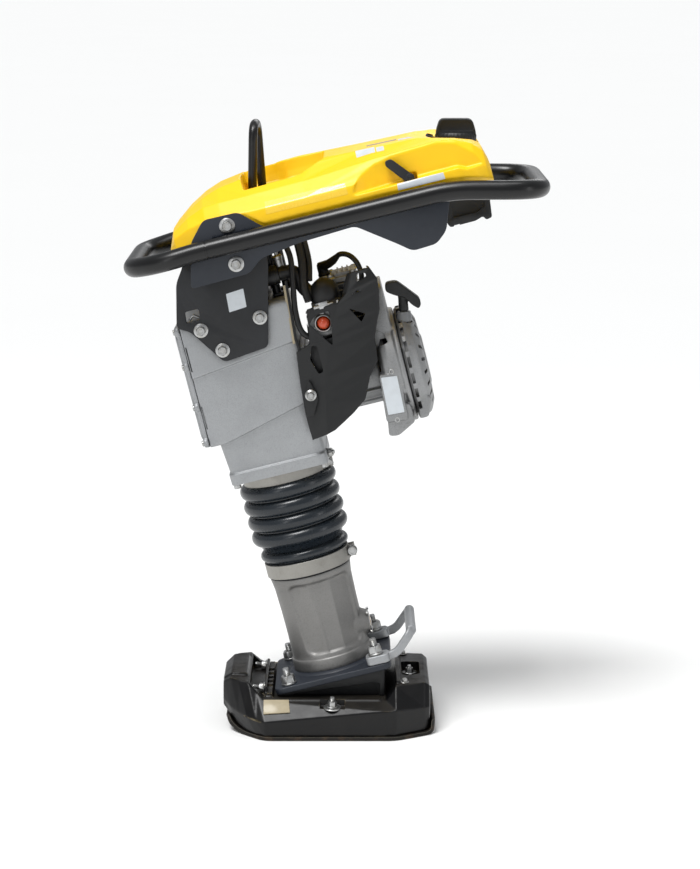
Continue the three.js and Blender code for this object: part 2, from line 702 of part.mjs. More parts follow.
// ---------- engine ----------
function engineCrankcase() {
  const start = CASE_REAR_X + GAP;
  const bell = rod("x", 52, start, 112, 0, SHAFT_Z, 24);
  const barrel = rod("x", 46, 110, 189, 0, SHAFT_Z, 24);
  const deck = box([120, 188], [-42, 42], [SHAFT_Z, 500]);
  const clutchRoom = rod("x", 44, start - 1, 108, 0, SHAFT_Z, 24);
  const crankRoom = rod("x", 35, 130, 178, 0, SHAFT_Z);
  const shaftHole = rod("x", 11, 100, 195, 0, SHAFT_Z, 16);
  const throat = rod("z", 22, SHAFT_Z, 501, 154, 0, 16);
  return cut(join(bell, barrel, deck), clutchRoom, crankRoom, shaftHole, throat);
}

function engineCylinder() {
  const base = 500 + GAP;
  const barrel = box([124, 186], [-32, 32], [base, 604]);
  const fins = [];
  for (let i = 0; i < 8; i++) {
    const z = base + 8 + i * 12;
    fins.push(box([112, 189], [-47, 47], [z, z + 3]));
  }
  const head = box([150, 189], [-30, 30], [600, 616]);
  const bore = rod("z", 22, base - 1, 590, 154, 0, 24);
  return cut(join(barrel, ...fins, head), bore);
}

function crankshaft() {
  const web = (x) => rod("x", 32, x, x + 8, 0, SHAFT_Z, 20);
  return join(
    rod("x", 9, 104, 144, 0, SHAFT_Z, 12), rod("x", 9, 164, 232, 0, SHAFT_Z, 12),
    web(138), web(162), rod("x", 8, 140, 168, 0, SHAFT_Z + 18, 12),
    rod("x", 32, 88, 101, 0, SHAFT_Z, 20), rod("x", 9, 100, 106, 0, SHAFT_Z, 12),
  );
}

// Flywheel with the blades of the cooling fan.
function flywheel() {
  const disc = ring("x", 9.4, 74, 197, 203, 0, SHAFT_Z, 24);
  const hub = ring("x", 9.4, 22, 202, 222, 0, SHAFT_Z, 12);
  const blades = [];
  for (let i = 0; i < 10; i++) {
    const blade = box([202, 220], [-1.5, 1.5], [34, 72]).rotate([36 * i, 0, 0]);
    blades.push(blade.translate([0, 0, SHAFT_Z]));
  }
  return join(disc, hub, ...blades);
}

function fanHousing() {
  const drum = rod("x", 90, 190, 229, 0, SHAFT_Z, 32);
  const duct = plate("x", [[-66, SHAFT_Z], [66, SHAFT_Z], [56, 588], [-56, 588]], 190, 222, 10);
  const foot = box([190, 222], [-84, -40], [352, 400]);
  const room = rod("x", 82, 194, 230, 0, SHAFT_Z, 28);
  const shaftHole = rod("x", 14, 189, 195, 0, SHAFT_Z, 16);
  return cut(join(drum, duct, foot), room, shaftHole);
}

// Recoil starter cover: a shallow dish with the rope pulley inside.
function starterHousing() {
  const back = 233;
  const dish = turned("x", [
    [48, back], [90, back], [92, back + 8], [84, back + 20], [66, back + 29],
    [0, back + 31], [0, back + 26], [48, back + 22],
  ], 0, SHAFT_Z);
  const rim = ring("x", 84, 90, 229 + GAP, back + 1, 0, SHAFT_Z);
  const pin = rod("x", 6, back + 4, back + 27, 0, SHAFT_Z, 12);
  return cut(join(dish, rim, pin), guideSeat());
}

function starterPulley() {
  return turned("x", [
    [6 + GAP, 237], [44, 237], [36, 242], [44, 247], [6 + GAP, 247],
  ], 0, SHAFT_Z, 24);
}

// The rope leaves the starter upwards, leaning back a little from the leg.
const ROPE_LEAN = THREE.MathUtils.degToRad(9.5);
const ROPE_EXIT = [243, ROPE_Y, 510];
const GUIDE = [-22, 24]; // along the rope, from the exit

function alongRope(made) {
  return made.rotate([0, THREE.MathUtils.radToDeg(ROPE_LEAN), 0]).translate(ROPE_EXIT);
}

function ropeGuide() {
  const [low, high] = GUIDE;
  return alongRope(turned("z", [[4, low], [8, low], [8, 6], [12, 10], [10, high], [4, high]], 0, 0, 16));
}

const guideSeat = () => alongRope(rod("z", 12.4, GUIDE[0] - GAP, GUIDE[1] + 30));

function starterRope() {
  return alongRope(rod("z", 2, GUIDE[0], GUIDE[1], 0, 0, 8));
}

function starterGrip() {
  const stem = rod("z", 8, GUIDE[1] + GAP, 54, 0, 0, 14);
  const bar = plate("y", [[-27, 60], [-25, 74], [-6, 72], [28, 42], [26, 28], [8, 40], [-8, 52]], -11, 11, 6);
  return alongRope(join(stem, bar));
}

const SHROUD = [
  [61, 378], [96, 383], [104, 391], [155, 419], [168, 440], [186, 470], [189, 512], [211, 578],
  [213, 618], [176, 622], [160, 590], [102, 586], [94, 526], [69, 518], [66, 470],
];

// Black moulded cover on the engine's left side, with a window over the primer.
function engineShroud() {
  const face = plate("y", SHROUD, -104, -98, 4);
  const flankTop = plate("y", [[168, 440], [186, 470], [189, 512], [211, 578], [206, 579], [183, 513], [181, 472], [164, 444]], -99, -70);
  const window = rod("y", 19, -106, -96, PRIMER_X, PRIMER_Z);
  const slot = plate("y", [[100, 470], [112, 474], [110, 512], [103, 516]], -106, -96, 3);
  return cut(join(face, flankTop), window, slot);
}

const PRIMER_X = 122;
const PRIMER_Z = 553;

function carburetor() {
  const body = box([98, 142], [-90, -62], [530, 570]);
  const flange = box([108, 130], [-64, -48], [534, 564]);
  const stack = rod("z", 14, 569, 575.7, 134, -76);
  const primerPocket = rod("y", 11.5, -91, -80, PRIMER_X, PRIMER_Z);
  return cut(join(body, flange, stack), primerPocket);
}

function primerBulb() {
  return turned("y", [[0, -85], [10.5, -85], [10.5, -92], [9, -97], [5, -100], [0, -101]], PRIMER_X, PRIMER_Z, 20);
}

// Moulded rubber boot over the carburettor's stack, and its hose up to the filter's duct.
function intakeBoot() {
  const dome = turned("z", [
    [0, 576], [24, 576], [24, 586], [22, 600], [16, 612], [9, 618], [0, 620],
  ], 135, -72.5, 20);
  const path = new BentPath([[72 + GAP, -58, 640], [97, -58, 640, 10], [104, -66, 608, 10], [122, -72, 592]]);
  return join(dome, sweep(path, 11, 10));
}

function sparkPlug() {
  return join(
    rod("z", 7, 604 + GAP, 608, 138, -4, 12),
    rod("z", 10, 607, 614, 138, -4, 6),
    rod("z", 5, 613, 624, 138, -4, 12),
  );
}

// Plug boot and the ignition lead that runs back to the coil behind the shroud.
function ignitionLead() {
  const boot = rod("z", 9.5, 616, 637, 138, -4, 16);
  const socket = rod("z", 5 + GAP, 614, 625, 138, -4, 12);
  const path = new BentPath([
    [138, -6, 631], [168, -32, 645, 14], [194, -60, 636, 16], [198, -63, 604, 8], [186, -63, 588],
  ]);
  return cut(join(boot, sweep(path, 4, 6)), socket);
}

function muffler() {
  const can = plate("x", [[64, 500], [118, 500], [118, 590], [64, 590]], 104, 180, 14);
  const neck = box([132, 156], [47 + GAP, 66], [530, 552]);
  const outlet = rod("y", 9, 117, 126, 166, 512, 16);
  return join(can, neck, outlet);
}

// ---------- assembly ----------
node("sole_plate", solePlate(), SOLE_STEEL, rammer);
node("shoe_body", shoeBody(), SHOE_PLASTIC, rammer);
node("foot_wedge", footWedge(), BLACK_PLASTIC, rammer);

node("cylinder_flange", cylinderFlange(), PLATE_PAINT);
node("spring_cylinder", springCylinder(), CAST_DARK);
node("cylinder_neck", cylinderNeck(), STEEL);
node("bellows", bellows(), RUBBER);
node("lower_bellows_clamp", bellowsClamp(162, 185), STEEL);
node("shoe_lift_handle", shoeLiftHandle(), CAST);
node("oil_sight_glass", rod("x", 12, 66 + GAP, 75, 0, 52), GLASS);
for (const [end, x, base] of [["front", -STUD_X, GAP], ["rear", STUD_X, 14 + GAP]]) {
  for (const [side, y] of [["left", -STUD_Y], ["right", STUD_Y]]) {
    const nut = node(`flange_nut_${end}_${side}`, flangeNut(base), STEEL);
    nut.position.set(x, y, 0);
  }
}
node("lower_spring", spring(38, 5, CYLINDER_FLOOR_Z, 106, 4), STEEL);
node("upper_spring", spring(42, 4.5, 118, CYLINDER_TOP_Z, 3.5), STEEL);

node("piston_rod", pistonRod(), STEEL);
node("wrist_pin", rod("x", 8, -21, 21, 0, WRIST_Z, 20), STEEL);
node("connecting_rod", connectingRod(), CAST);
node("crank_pin", rod("x", 12, -8, GEAR_X[0] - GAP, 0, GEAR_Z + CRANK_R, 24), STEEL);
node("crank_gear", crankGear(), STEEL);
node("crank_bearing", ring("x", 14 + GAP, 30, 46, 61, 0, GEAR_Z, 28), STEEL);
node("clutch_drum", clutchDrum(), STEEL);
node("pinion_bearing", ring("x", 8 + GAP, 20, 46, 61, 0, SHAFT_Z, 24), STEEL);

node("crankcase", crankcase(), CAST);
node("crankcase_cover", crankcaseCover(), CAST);
node("guide_bush", ring("z", NECK_R + 0.5, 44, CASE_BOTTOM_Z + 2, 374, 0, 0, 28), BRONZE);
node("upper_bellows_clamp", bellowsClamp(313.5, CASE_BOTTOM_Z - GAP), STEEL);

node("mount_bracket_left", mountBracket(-1), BLACK_PAINT);
node("mount_bracket_right", mountBracket(1), BLACK_PAINT);
node("shock_mount_left", shockMount(-1), RUBBER);
node("shock_mount_right", shockMount(1), RUBBER);
node("air_filter_housing", airFilterHousing(), BLACK_PLASTIC);
node("lifting_bail", liftingBail(), BLACK_PAINT);

node("engine_crankcase", engineCrankcase(), CAST);
node("engine_cylinder", engineCylinder(), CAST);
node("crankshaft", crankshaft(), STEEL);
node("flywheel", flywheel(), CAST);
node("fan_housing", fanHousing(), CAST);
node("starter_housing", starterHousing(), CAST);
node("starter_pulley", starterPulley(), BLACK_PLASTIC);
node("rope_guide", ropeGuide(), BLACK_PLASTIC);
node("starter_rope", starterRope(), ROPE);
node("starter_grip", starterGrip(), BLACK_PLASTIC);
node("engine_shroud", engineShroud(), BLACK_PLASTIC);
node("carburetor", carburetor(), CAST);
node("primer_bulb", primerBulb(), PRIMER_RED);
node("intake_boot", intakeBoot(), RUBBER);
node("spark_plug", sparkPlug(), STEEL);
node("ignition_lead", ignitionLead(), RUBBER);
node("muffler", muffler(), STEEL);

node("guide_handle", guideHandle(), BLACK_PAINT);
node("front_loop", frontLoop(), BLACK_PAINT);
node("side_plate_left", sidePlate(-1), PLATE_PAINT);
node("side_plate_right", sidePlate(1), PLATE_PAINT);
node("fuel_tank", fuelTank(), YELLOW);
node("tank_guard", tankGuard(), BLACK_PLASTIC);
node("cap_gasket", capGasket(), RUBBER);
node("fuel_cap", fuelCap(), BLACK_PLASTIC);
node("throttle_lever", throttleLever(), BLACK_PLASTIC);

export default rammer;
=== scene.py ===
# Looks of the jumping jack rammer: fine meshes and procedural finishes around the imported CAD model.
# A shape is a pair (vertices, faces) in millimetres. Most shapes are made in the leg's own frame, where
# z runs up the leg, x along the guide handle and y across; the shoe's are made in the row frame.
import math
import random

import bmesh
import bpy
from mathutils import Matrix, Vector


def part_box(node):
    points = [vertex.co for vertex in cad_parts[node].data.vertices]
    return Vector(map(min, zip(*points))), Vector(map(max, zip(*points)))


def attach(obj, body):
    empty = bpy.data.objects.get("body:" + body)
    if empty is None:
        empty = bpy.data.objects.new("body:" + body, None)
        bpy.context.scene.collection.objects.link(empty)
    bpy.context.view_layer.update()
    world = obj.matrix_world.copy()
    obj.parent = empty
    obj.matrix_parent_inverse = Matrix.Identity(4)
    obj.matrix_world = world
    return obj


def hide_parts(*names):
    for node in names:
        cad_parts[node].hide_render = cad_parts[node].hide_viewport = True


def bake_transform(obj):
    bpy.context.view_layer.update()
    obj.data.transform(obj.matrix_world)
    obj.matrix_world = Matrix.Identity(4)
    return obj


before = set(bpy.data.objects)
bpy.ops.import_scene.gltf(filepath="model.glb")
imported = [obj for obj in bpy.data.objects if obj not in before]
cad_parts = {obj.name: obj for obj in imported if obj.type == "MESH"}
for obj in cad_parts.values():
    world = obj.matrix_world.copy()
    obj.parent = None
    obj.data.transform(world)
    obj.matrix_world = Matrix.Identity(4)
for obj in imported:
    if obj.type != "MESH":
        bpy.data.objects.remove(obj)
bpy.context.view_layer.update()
scene = bpy.context.scene
chance = random.Random(7)

LEAN = math.radians(14)
MM = Matrix.Scale(0.001, 4)
SHOE = MM
LEG = Matrix.Translation((0.005, 0, 0.094)) @ Matrix.Rotation(-LEAN, 4, "Y") @ MM

# ---------- shapes ----------
ACROSS = {
    "x": lambda p, q, along: Vector((along, p, q)),
    "y": lambda p, q, along: Vector((p, along, q)),
    "z": lambda p, q, along: Vector((p, q, along)),
}


def merged(*shapes):
    vertices, faces = [], []
    for more, polygons in shapes:
        base = len(vertices)
        vertices += [Vector(v) for v in more]
        faces += [[base + i for i in polygon] for polygon in polygons]
    return vertices, faces


def moved(shape, matrix):
    return [matrix @ Vector(v) for v in shape[0]], shape[1]


def shifted(shape, x=0, y=0, z=0):
    return moved(shape, Matrix.Translation((x, y, z)))


def spun(shape, degrees, axis, about=(0, 0, 0)):
    here = Matrix.Translation(about)
    return moved(shape, here @ Matrix.Rotation(math.radians(degrees), 4, axis) @ here.inverted())


def aimed(shape, at, direction):
    """The shape, made along +Z at the origin, set at a point and pointed along a direction."""
    turn = Vector(direction).to_track_quat("Z", "Y").to_matrix().to_4x4()
    return moved(shape, Matrix.Translation(at) @ turn)


def mirrored(shape):
    return [Vector((x, -y, z)) for x, y, z in shape[0]], [face[::-1] for face in shape[1]]


def both(shape):
    return merged(shape, mirrored(shape))


SIDES = ((-1, "left", mirrored), (1, "right", lambda shape: shape))


def loft(rings, closed=False):
    """Skins rings of equally many points; the ends are capped unless the last ring meets the first."""
    count, vertices, faces = len(rings[0]), [Vector(p) for ring in rings for p in ring], []
    for r in range(len(rings) - (0 if closed else 1)):
        a, b = r * count, (r + 1) % len(rings) * count
        for i in range(count):
            j = (i + 1) % count
            faces.append([a + i, a + j, b + j, b + i])
    if not closed:
        faces += [list(range(count))[::-1], [len(vertices) - count + i for i in range(count)]]
    return vertices, faces


def lathe(axis, profile, p=0, q=0, sides=64, closed=False):
    """Turns (radius, place along the axis) points about an axis through (p, q)."""
    turns = [2 * math.pi * i / sides for i in range(sides)]
    return loft([[ACROSS[axis](p + r * math.cos(a), q + r * math.sin(a), along) for a in turns]
                 for r, along in profile], closed)


def rod(axis, radius, start, end, p=0, q=0, sides=48, edge=0.8):
    """A round bar with eased ends."""
    edge = min(edge, radius * 0.5)
    step = math.copysign(edge, end - start)
    return lathe(axis, [(0, start), (radius - edge, start), (radius, start + step),
                        (radius, end - step), (radius - edge, end), (0, end)], p, q, sides)


def pipe(axis, inner, outer, start, end, p=0, q=0, sides=64):
    return lathe(axis, rect(inner, start, outer, end), p, q, sides, closed=True)


def rounded(points, radius, steps=5):
    """A polygon's outline with each corner eased over the radius."""
    eased = []
    for i, point in enumerate(points):
        corner, before = Vector(point), Vector(points[i - 1])
        after = Vector(points[(i + 1) % len(points)])
        inset = min(radius, 0.45 * (before - corner).length, 0.45 * (after - corner).length)
        enter = corner + (before - corner).normalized() * inset
        leave = corner + (after - corner).normalized() * inset
        for k in range(steps + 1):
            t = k / steps
            eased.append(enter.lerp(corner, t).lerp(corner.lerp(leave, t), t))
    return eased


def rect(p0, q0, p1, q1):
    return [(p0, q0), (p1, q0), (p1, q1), (p0, q1)]


def plate(axis, points, start, end, radius=0, steps=5):
    """A flat outline pushed along an axis, its corners eased over the radius."""
    outline = rounded(points, radius, steps) if radius else points
    return loft([[ACROSS[axis](a, b, along) for a, b in outline] for along in (start, end)])


def box(x, y, z):
    return plate("z", rect(x[0], y[0], x[1], y[1]), *z)


def bent(corners, steps=10):
    """Points on a line through corners (x, y, z, ease), each rounded over its own ease."""
    line = [Vector(corners[0][:3])]
    for i in range(1, len(corners) - 1):
        corner = Vector(corners[i][:3])
        ends = [corner + (Vector(corners[j][:3]) - corner).normalized() * corners[i][3] for j in (i - 1, i + 1)]
        for k in range(steps + 1):
            t = k / steps
            line.append(ends[0].lerp(corner, t).lerp(corner.lerp(ends[1], t), t))
    return line + [Vector(corners[-1][:3])]


def smooth_line(points, steps=8):
    """A Catmull-Rom curve through the points."""
    p = [Vector(q) for q in points]
    p = [2 * p[0] - p[1]] + p + [2 * p[-1] - p[-2]]
    line = []
    for a, b, c, d in zip(p, p[1:], p[2:], p[3:]):
        for k in range(steps):
            t = k / steps
            line.append(0.5 * ((2 * b) + (c - a) * t + (2 * a - 5 * b + 4 * c - d) * t ** 2
                               + (3 * b - a - 3 * c + d) * t ** 3))
    return line + [p[-2]]


def tube(line, radius, sides=24, closed=False):
    """Sweeps a circle along a line; the radius may be one number or one for each point."""
    line = [Vector(p) for p in line]
    radii = radius if isinstance(radius, (list, tuple)) else [radius] * len(line)
    rings, normal = [], None
    for i, at in enumerate(line):
        ahead = line[(i + 1) % len(line)] if closed or i + 1 < len(line) else at
        behind = line[i - 1] if closed or i else at
        heading = (ahead - behind).normalized()
        if normal is None:
            normal = heading.orthogonal().normalized()
        normal = (normal - heading * normal.dot(heading)).normalized()
        other = heading.cross(normal)
        rings.append([at + radii[i] * (math.cos(a) * normal + math.sin(a) * other)
                      for a in (2 * math.pi * k / sides for k in range(sides))])
    return loft(rings, closed)


# ---------- fasteners ----------
def hexagon(across, height, base=0.0, chamfer=0.94):
    """A hexagon head whose top corners are turned down to a circle."""
    def ring(level, reach):
        points = []
        for i in range(36):
            a = 2 * math.pi * i / 36
            r = min(across / 2 / math.cos(a % (math.pi / 3) - math.pi / 6), reach)
            points.append((r * math.cos(a), r * math.sin(a), level))
        return points
    return loft([ring(base, across), ring(base + 0.78 * height, across),
                 ring(base + height, across / 2 * chamfer)])


def flange_bolt(across=13.0, reach=0.86):
    """Head of a flanged hexagon bolt with its shallow dished top."""
    flange = lathe("z", [(0, 0), (across * reach, 0), (across * reach, 1.4), (across * 0.62, 3.4), (0, 3.4)])
    head = hexagon(across, across * 0.5, 3)
    rim = pipe("z", across * 0.3, across * 0.4, across * 0.5 + 2.8, across * 0.5 + 3.5, sides=32)
    return merged(flange, head, rim)


def washer(outer, inner, thick, base=0.0):
    return lathe("z", [(inner, base), (outer - 0.4, base), (outer, base + 0.4), (outer, base + thick - 0.4),
                       (outer - 0.4, base + thick), (inner, base + thick)], closed=True, sides=40)


def threaded(radius, start, end, pitch=1.5):
    """A stud end with thread ridges."""
    profile = [(0, start), (radius, start)]
    level = start
    while level + pitch < end - 1:
        profile += [(radius, level + 0.2 * pitch), (radius - 0.55, level + 0.6 * pitch), (radius, level + pitch)]
        level += pitch
    return lathe("z", profile + [(radius - 0.8, end), (0, end)], sides=32)


def socket_screw(radius, height):
    return lathe("z", [(0, 0), (radius, 0), (radius, height - 0.6), (radius - 0.6, height), (radius * 0.56, height),
                       (radius * 0.5, height - 2), (0, height - 2)], sides=36)


# ---------- mesh work ----------
def made(name, shape):
    mesh = bpy.data.meshes.new(name)
    mesh.from_pydata([tuple(v) for v in shape[0]], [], shape[1])
    work = bmesh.new()
    work.from_mesh(mesh)
    bmesh.ops.remove_doubles(work, verts=work.verts, dist=0.001)
    bmesh.ops.dissolve_degenerate(work, edges=work.edges, dist=0.001)
    bmesh.ops.recalc_face_normals(work, faces=work.faces)
    work.to_mesh(mesh)
    work.free()
    obj = bpy.data.objects.new(name, mesh)
    scene.collection.objects.link(obj)
    return obj


def settle(obj):
    """Applies the object's modifiers."""
    view = bpy.context.evaluated_depsgraph_get()
    mesh = bpy.data.meshes.new_from_object(obj.evaluated_get(view))
    obj.modifiers.clear()
    old, obj.data = obj.data, mesh
    bpy.data.meshes.remove(old)
    return obj


def combine(obj, shape, operation):
    tool = made("tool", shape)
    change = obj.modifiers.new("combine", "BOOLEAN")
    change.object, change.operation, change.solver = tool, operation, "MANIFOLD"
    settle(obj)
    bpy.data.objects.remove(tool)
    return obj


def carve(obj, *shapes):
    for shape in shapes:
        combine(obj, shape, "DIFFERENCE")
    return obj


def cast(obj, voxel, rounds, strength=0.5):
    """Fuses the shape into one skin and rounds its edges, as casting or moulding leaves them."""
    change = obj.modifiers.new("skin", "REMESH")
    change.mode, change.voxel_size, change.use_smooth_shade = "VOXEL", voxel, True
    if rounds:
        ease = obj.modifiers.new("ease", "SMOOTH")
        ease.factor, ease.iterations = strength, rounds
    return settle(obj)


def ease(obj, width, segments=2, angle=32):
    """Bevels the sharp edges."""
    change = obj.modifiers.new("ease", "BEVEL")
    change.width, change.segments, change.limit_method = width, segments, "ANGLE"
    change.angle_limit, change.use_clamp_overlap = math.radians(angle), True
    change.harden_normals = False
    return settle(obj)


def place(obj, body, finish, *nodes, at=LEG, angle=38):
    """Sets a finished mesh in the row frame, on its body, with its finish."""
    obj.data.transform(at)
    if at.determinant() < 0:
        obj.data.flip_normals()
    obj.data.materials.clear()
    obj.data.materials.append(FINISHES[finish])
    obj.data.shade_smooth()
    obj.data.set_sharp_from_angle(angle=math.radians(angle))
    if body:
        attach(obj, body)
    if nodes:
        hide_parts(*nodes)
    return obj


def piece(name, shape, body, finish, *nodes, bevel=0.0, at=LEG, angle=38):
    obj = made(name, shape)
    if bevel:
        ease(obj, bevel)
    return place(obj, body, finish, *nodes, at=at, angle=angle)


def fitting(name, *shapes, body="machine", at=LEG, bevel=0.0):
    """Bright steel fasteners, joined as one piece."""
    return piece(name, merged(*shapes), body, "zinc_steel", bevel=bevel, at=at)


def bolt_circle(degrees, reach):
    """Points (y, z) about the engine's shaft."""
    angles = [math.radians(d) for d in degrees]
    return [(reach * math.cos(a), SHAFT_Z + reach * math.sin(a)) for a in angles]


# ---------- finishes ----------
def colour_of(code):
    """A linear colour from an sRGB hex code."""
    channels = [int(code[i:i + 2], 16) / 255 for i in (0, 2, 4)]
    return [c / 12.92 if c <= 0.04045 else ((c + 0.055) / 1.055) ** 2.4 for c in channels] + [1]


class Finish:
    """A material built up in layers: each call adds nodes over what is already there."""

    def __init__(self, name, colour, roughness, metallic=0.0, **sockets):
        self.name = name
        self.material = bpy.data.materials.new(name)
        self.material.use_nodes = True
        self.nodes, self.links = self.material.node_tree.nodes, self.material.node_tree.links
        self.shader = self.nodes["Principled BSDF"]
        self.shader.inputs["Base Color"].default_value = colour_of(colour)
        self.shader.inputs["Roughness"].default_value = roughness
        self.shader.inputs["Metallic"].default_value = metallic
        for socket, value in sockets.items():
            self.shader.inputs[socket.replace("_", " ")].default_value = value
        self.where = self.nodes.new("ShaderNodeTexCoord").outputs["Object"]
        self.colour, self.roughness, self.normal = None, None, None
        self.base, self.base_roughness = colour_of(colour), roughness

    def feed(self, node, socket, value):
        if isinstance(value, bpy.types.NodeSocket):
            self.links.new(value, node.inputs[socket])
        elif value is not None:
            node.inputs[socket].default_value = value

    def stretched(self, along, factor):
        """The place on the object, squeezed along an axis so that textures run along it."""
        node = self.nodes.new("ShaderNodeMapping")
        self.feed(node, "Vector", self.where)
        node.inputs["Scale"].default_value = [factor if axis == along else 1 for axis in "xyz"]
        if along in "xz":
            node.inputs["Rotation"].default_value = (0, LEAN, 0)
        return node.outputs["Vector"]

    def noise(self, scale, detail=4.0, rough=0.55, where=None):
        node = self.nodes.new("ShaderNodeTexNoise")
        self.feed(node, "Vector", where or self.where)
        for socket, value in (("Scale", scale), ("Detail", detail), ("Roughness", rough)):
            node.inputs[socket].default_value = value
        return node.outputs["Fac"]

    def cells(self, scale):
        node = self.nodes.new("ShaderNodeTexVoronoi")
        self.feed(node, "Vector", self.where)
        node.inputs["Scale"].default_value = scale
        return node.outputs["Distance"]

    def span(self, value, low, high, start=0.0, end=1.0):
        node = self.nodes.new("ShaderNodeMapRange")
        self.feed(node, "Value", value)
        for socket, number in (("From Min", low), ("From Max", high), ("To Min", start), ("To Max", end)):
            node.inputs[socket].default_value = number
        return node.outputs["Result"]

    def maths(self, operation, a, b=None):
        node = self.nodes.new("ShaderNodeMath")
        node.operation = operation
        self.feed(node, 0, a)
        self.feed(node, 1, b)
        return node.outputs[0]

    def upward(self, low=0.3, high=0.9):
        """1 on surfaces that face up, 0 on the rest."""
        shape, split = self.nodes.new("ShaderNodeNewGeometry"), self.nodes.new("ShaderNodeSeparateXYZ")
        self.feed(split, "Vector", shape.outputs["Normal"])
        return self.span(split.outputs["Z"], low, high)

    def edges(self, radius, low=0.02, high=0.25):
        """1 along convex and concave edges, by how far a rounded normal leaves the true one."""
        soft, shape = self.nodes.new("ShaderNodeBevel"), self.nodes.new("ShaderNodeNewGeometry")
        soft.samples = 4
        soft.inputs["Radius"].default_value = radius
        dot = self.nodes.new("ShaderNodeVectorMath")
        dot.operation = "DOT_PRODUCT"
        self.feed(dot, 0, soft.outputs["Normal"])
        self.feed(dot, 1, shape.outputs["Normal"])
        return self.span(self.maths("SUBTRACT", 1.0, dot.outputs["Value"]), low, high)

    def painted_corner_shade(self, distance, low=0.35, high=0.9):
        """1 in corners and recesses, 0 in the open, from ambient occlusion: the mask for painted shade."""
        node = self.nodes.new("ShaderNodeAmbientOcclusion")
        node.samples = 6
        node.inputs["Distance"].default_value = distance
        return self.span(node.outputs["AO"], low, high, 1.0, 0.0)

    def tint(self, code, mask, share=1.0):
        """Colours the surface where the mask is 1."""
        node = self.nodes.new("ShaderNodeMix")
        node.data_type = "RGBA"
        self.feed(node, 0, self.maths("MULTIPLY", mask, share))
        node.inputs[6].default_value = self.base
        if self.colour:
            self.feed(node, 6, self.colour)
        node.inputs[7].default_value = colour_of(code)
        self.colour = node.outputs[2]
        self.feed(self.shader, "Base Color", self.colour)
        return self

    def gloss(self, mask, amount):
        """Adds the amount to the roughness where the mask is 1."""
        base = self.roughness if self.roughness else self.base_roughness
        self.roughness = self.maths("ADD", self.maths("MULTIPLY", mask, amount), base)
        self.feed(self.shader, "Roughness", self.roughness)
        return self

    def relief(self, height, depth):
        """Raises the surface by height times depth in metres, on top of the reliefs before it."""
        node = self.nodes.new("ShaderNodeBump")
        node.inputs["Distance"].default_value = depth
        self.feed(node, "Height", height)
        self.feed(node, "Normal", self.normal)
        self.normal = node.outputs["Normal"]
        self.feed(self.shader, "Normal", self.normal)
        return self


def hood_plastic():
    f = Finish("yellow_hood", "FCCB00", 0.36, Coat_Weight=0.06, Coat_Roughness=0.3, Specular_IOR_Level=0.42)
    f.tint("F0BA00", f.span(f.noise(7, 3), 0.4, 0.8), 0.25)
    # Painted shade: a mottled darker brownish yellow in the hood's corners and recesses.
    f.tint("7A5B14", f.maths("MULTIPLY", f.painted_corner_shade(0.018), f.span(f.noise(60), 0.4, 0.7)), 0.4)
    scuff = f.maths("MULTIPLY", f.span(f.noise(170, 2, where=f.stretched("x", 0.12)), 0.63, 0.7), f.edges(0.004))
    f.tint("FFE27A", scuff, 0.45)
    f.gloss(f.noise(35), 0.12).gloss(f.span(f.noise(300), 0.4, 0.8), 0.06)
    return f.relief(f.noise(750, 2), 0.00008).relief(f.noise(22, 2), 0.0003)


def tube_paint():
    f = Finish("black_tube", "030304", 0.3, Coat_Weight=0.2, Coat_Roughness=0.22, Specular_IOR_Level=0.36)
    f.tint("1A1918", f.span(f.noise(70, 3), 0.66, 0.8), 0.3)
    f.gloss(f.noise(45), 0.1)
    return f.relief(f.noise(90, 2), 0.00006)


def matt_paint(name, code, worn):
    f = Finish(name, code, 0.46, Coat_Weight=0.05)
    f.tint(worn, f.maths("MULTIPLY", f.edges(0.0016), f.span(f.noise(160), 0.45, 0.7)), 0.55)
    f.tint(worn, f.span(f.noise(14, 3), 0.45, 0.8), 0.16)
    f.gloss(f.noise(90), 0.16)
    return f.relief(f.noise(900, 2), 0.00014)


def moulding(name, code, roughness, grain=0.00008):
    f = Finish(name, code, roughness)
    f.tint("2C2B29", f.maths("MULTIPLY", f.edges(0.0014), f.span(f.noise(200), 0.5, 0.7)), 0.5)
    f.tint("171614", f.maths("MULTIPLY", f.upward(), f.span(f.noise(45), 0.45, 0.75)), 0.4)
    f.gloss(f.noise(70), 0.2)
    return f.relief(f.cells(1400), grain)


def shoe_plastic():
    f = Finish("shoe_plastic", "020203", 0.28, Specular_IOR_Level=0.34)
    patches = f.span(f.noise(28, 6, 0.62), 0.5, 0.7)
    dust = f.maths("MULTIPLY", f.upward(0.72, 0.99), f.span(f.noise(11, 5, 0.6), 0.36, 0.66))
    f.tint("12100D", patches, 0.3)
    f.tint("2C261C", dust, 0.5)
    worn = f.maths("MULTIPLY", f.edges(0.0018, 0.02, 0.14), f.span(f.noise(90), 0.46, 0.62))
    f.tint("8F8160", worn, 0.7)
    f.gloss(f.maths("MULTIPLY", dust, patches), 0.35).gloss(f.noise(60), 0.16).gloss(dust, 0.25)
    return f.relief(f.noise(500, 3), 0.00008).relief(f.noise(90, 4), 0.0002)


def bellows_rubber():
    f = Finish("bellows_rubber", "1A2026", 0.2, Specular_IOR_Level=0.5)
    f.tint("33342F", f.maths("MULTIPLY", f.upward(), f.span(f.noise(40), 0.4, 0.75)), 0.3)
    f.gloss(f.noise(50), 0.14)
    return f.relief(f.noise(600, 2), 0.00005).relief(f.noise(60, 3), 0.00015)


def black_rubber():
    f = Finish("black_rubber", "0A0A0B", 0.42)
    f.tint("2B2A28", f.span(f.noise(60), 0.5, 0.75), 0.3)
    f.gloss(f.noise(80), 0.2)
    return f.relief(f.noise(500, 3), 0.00015)


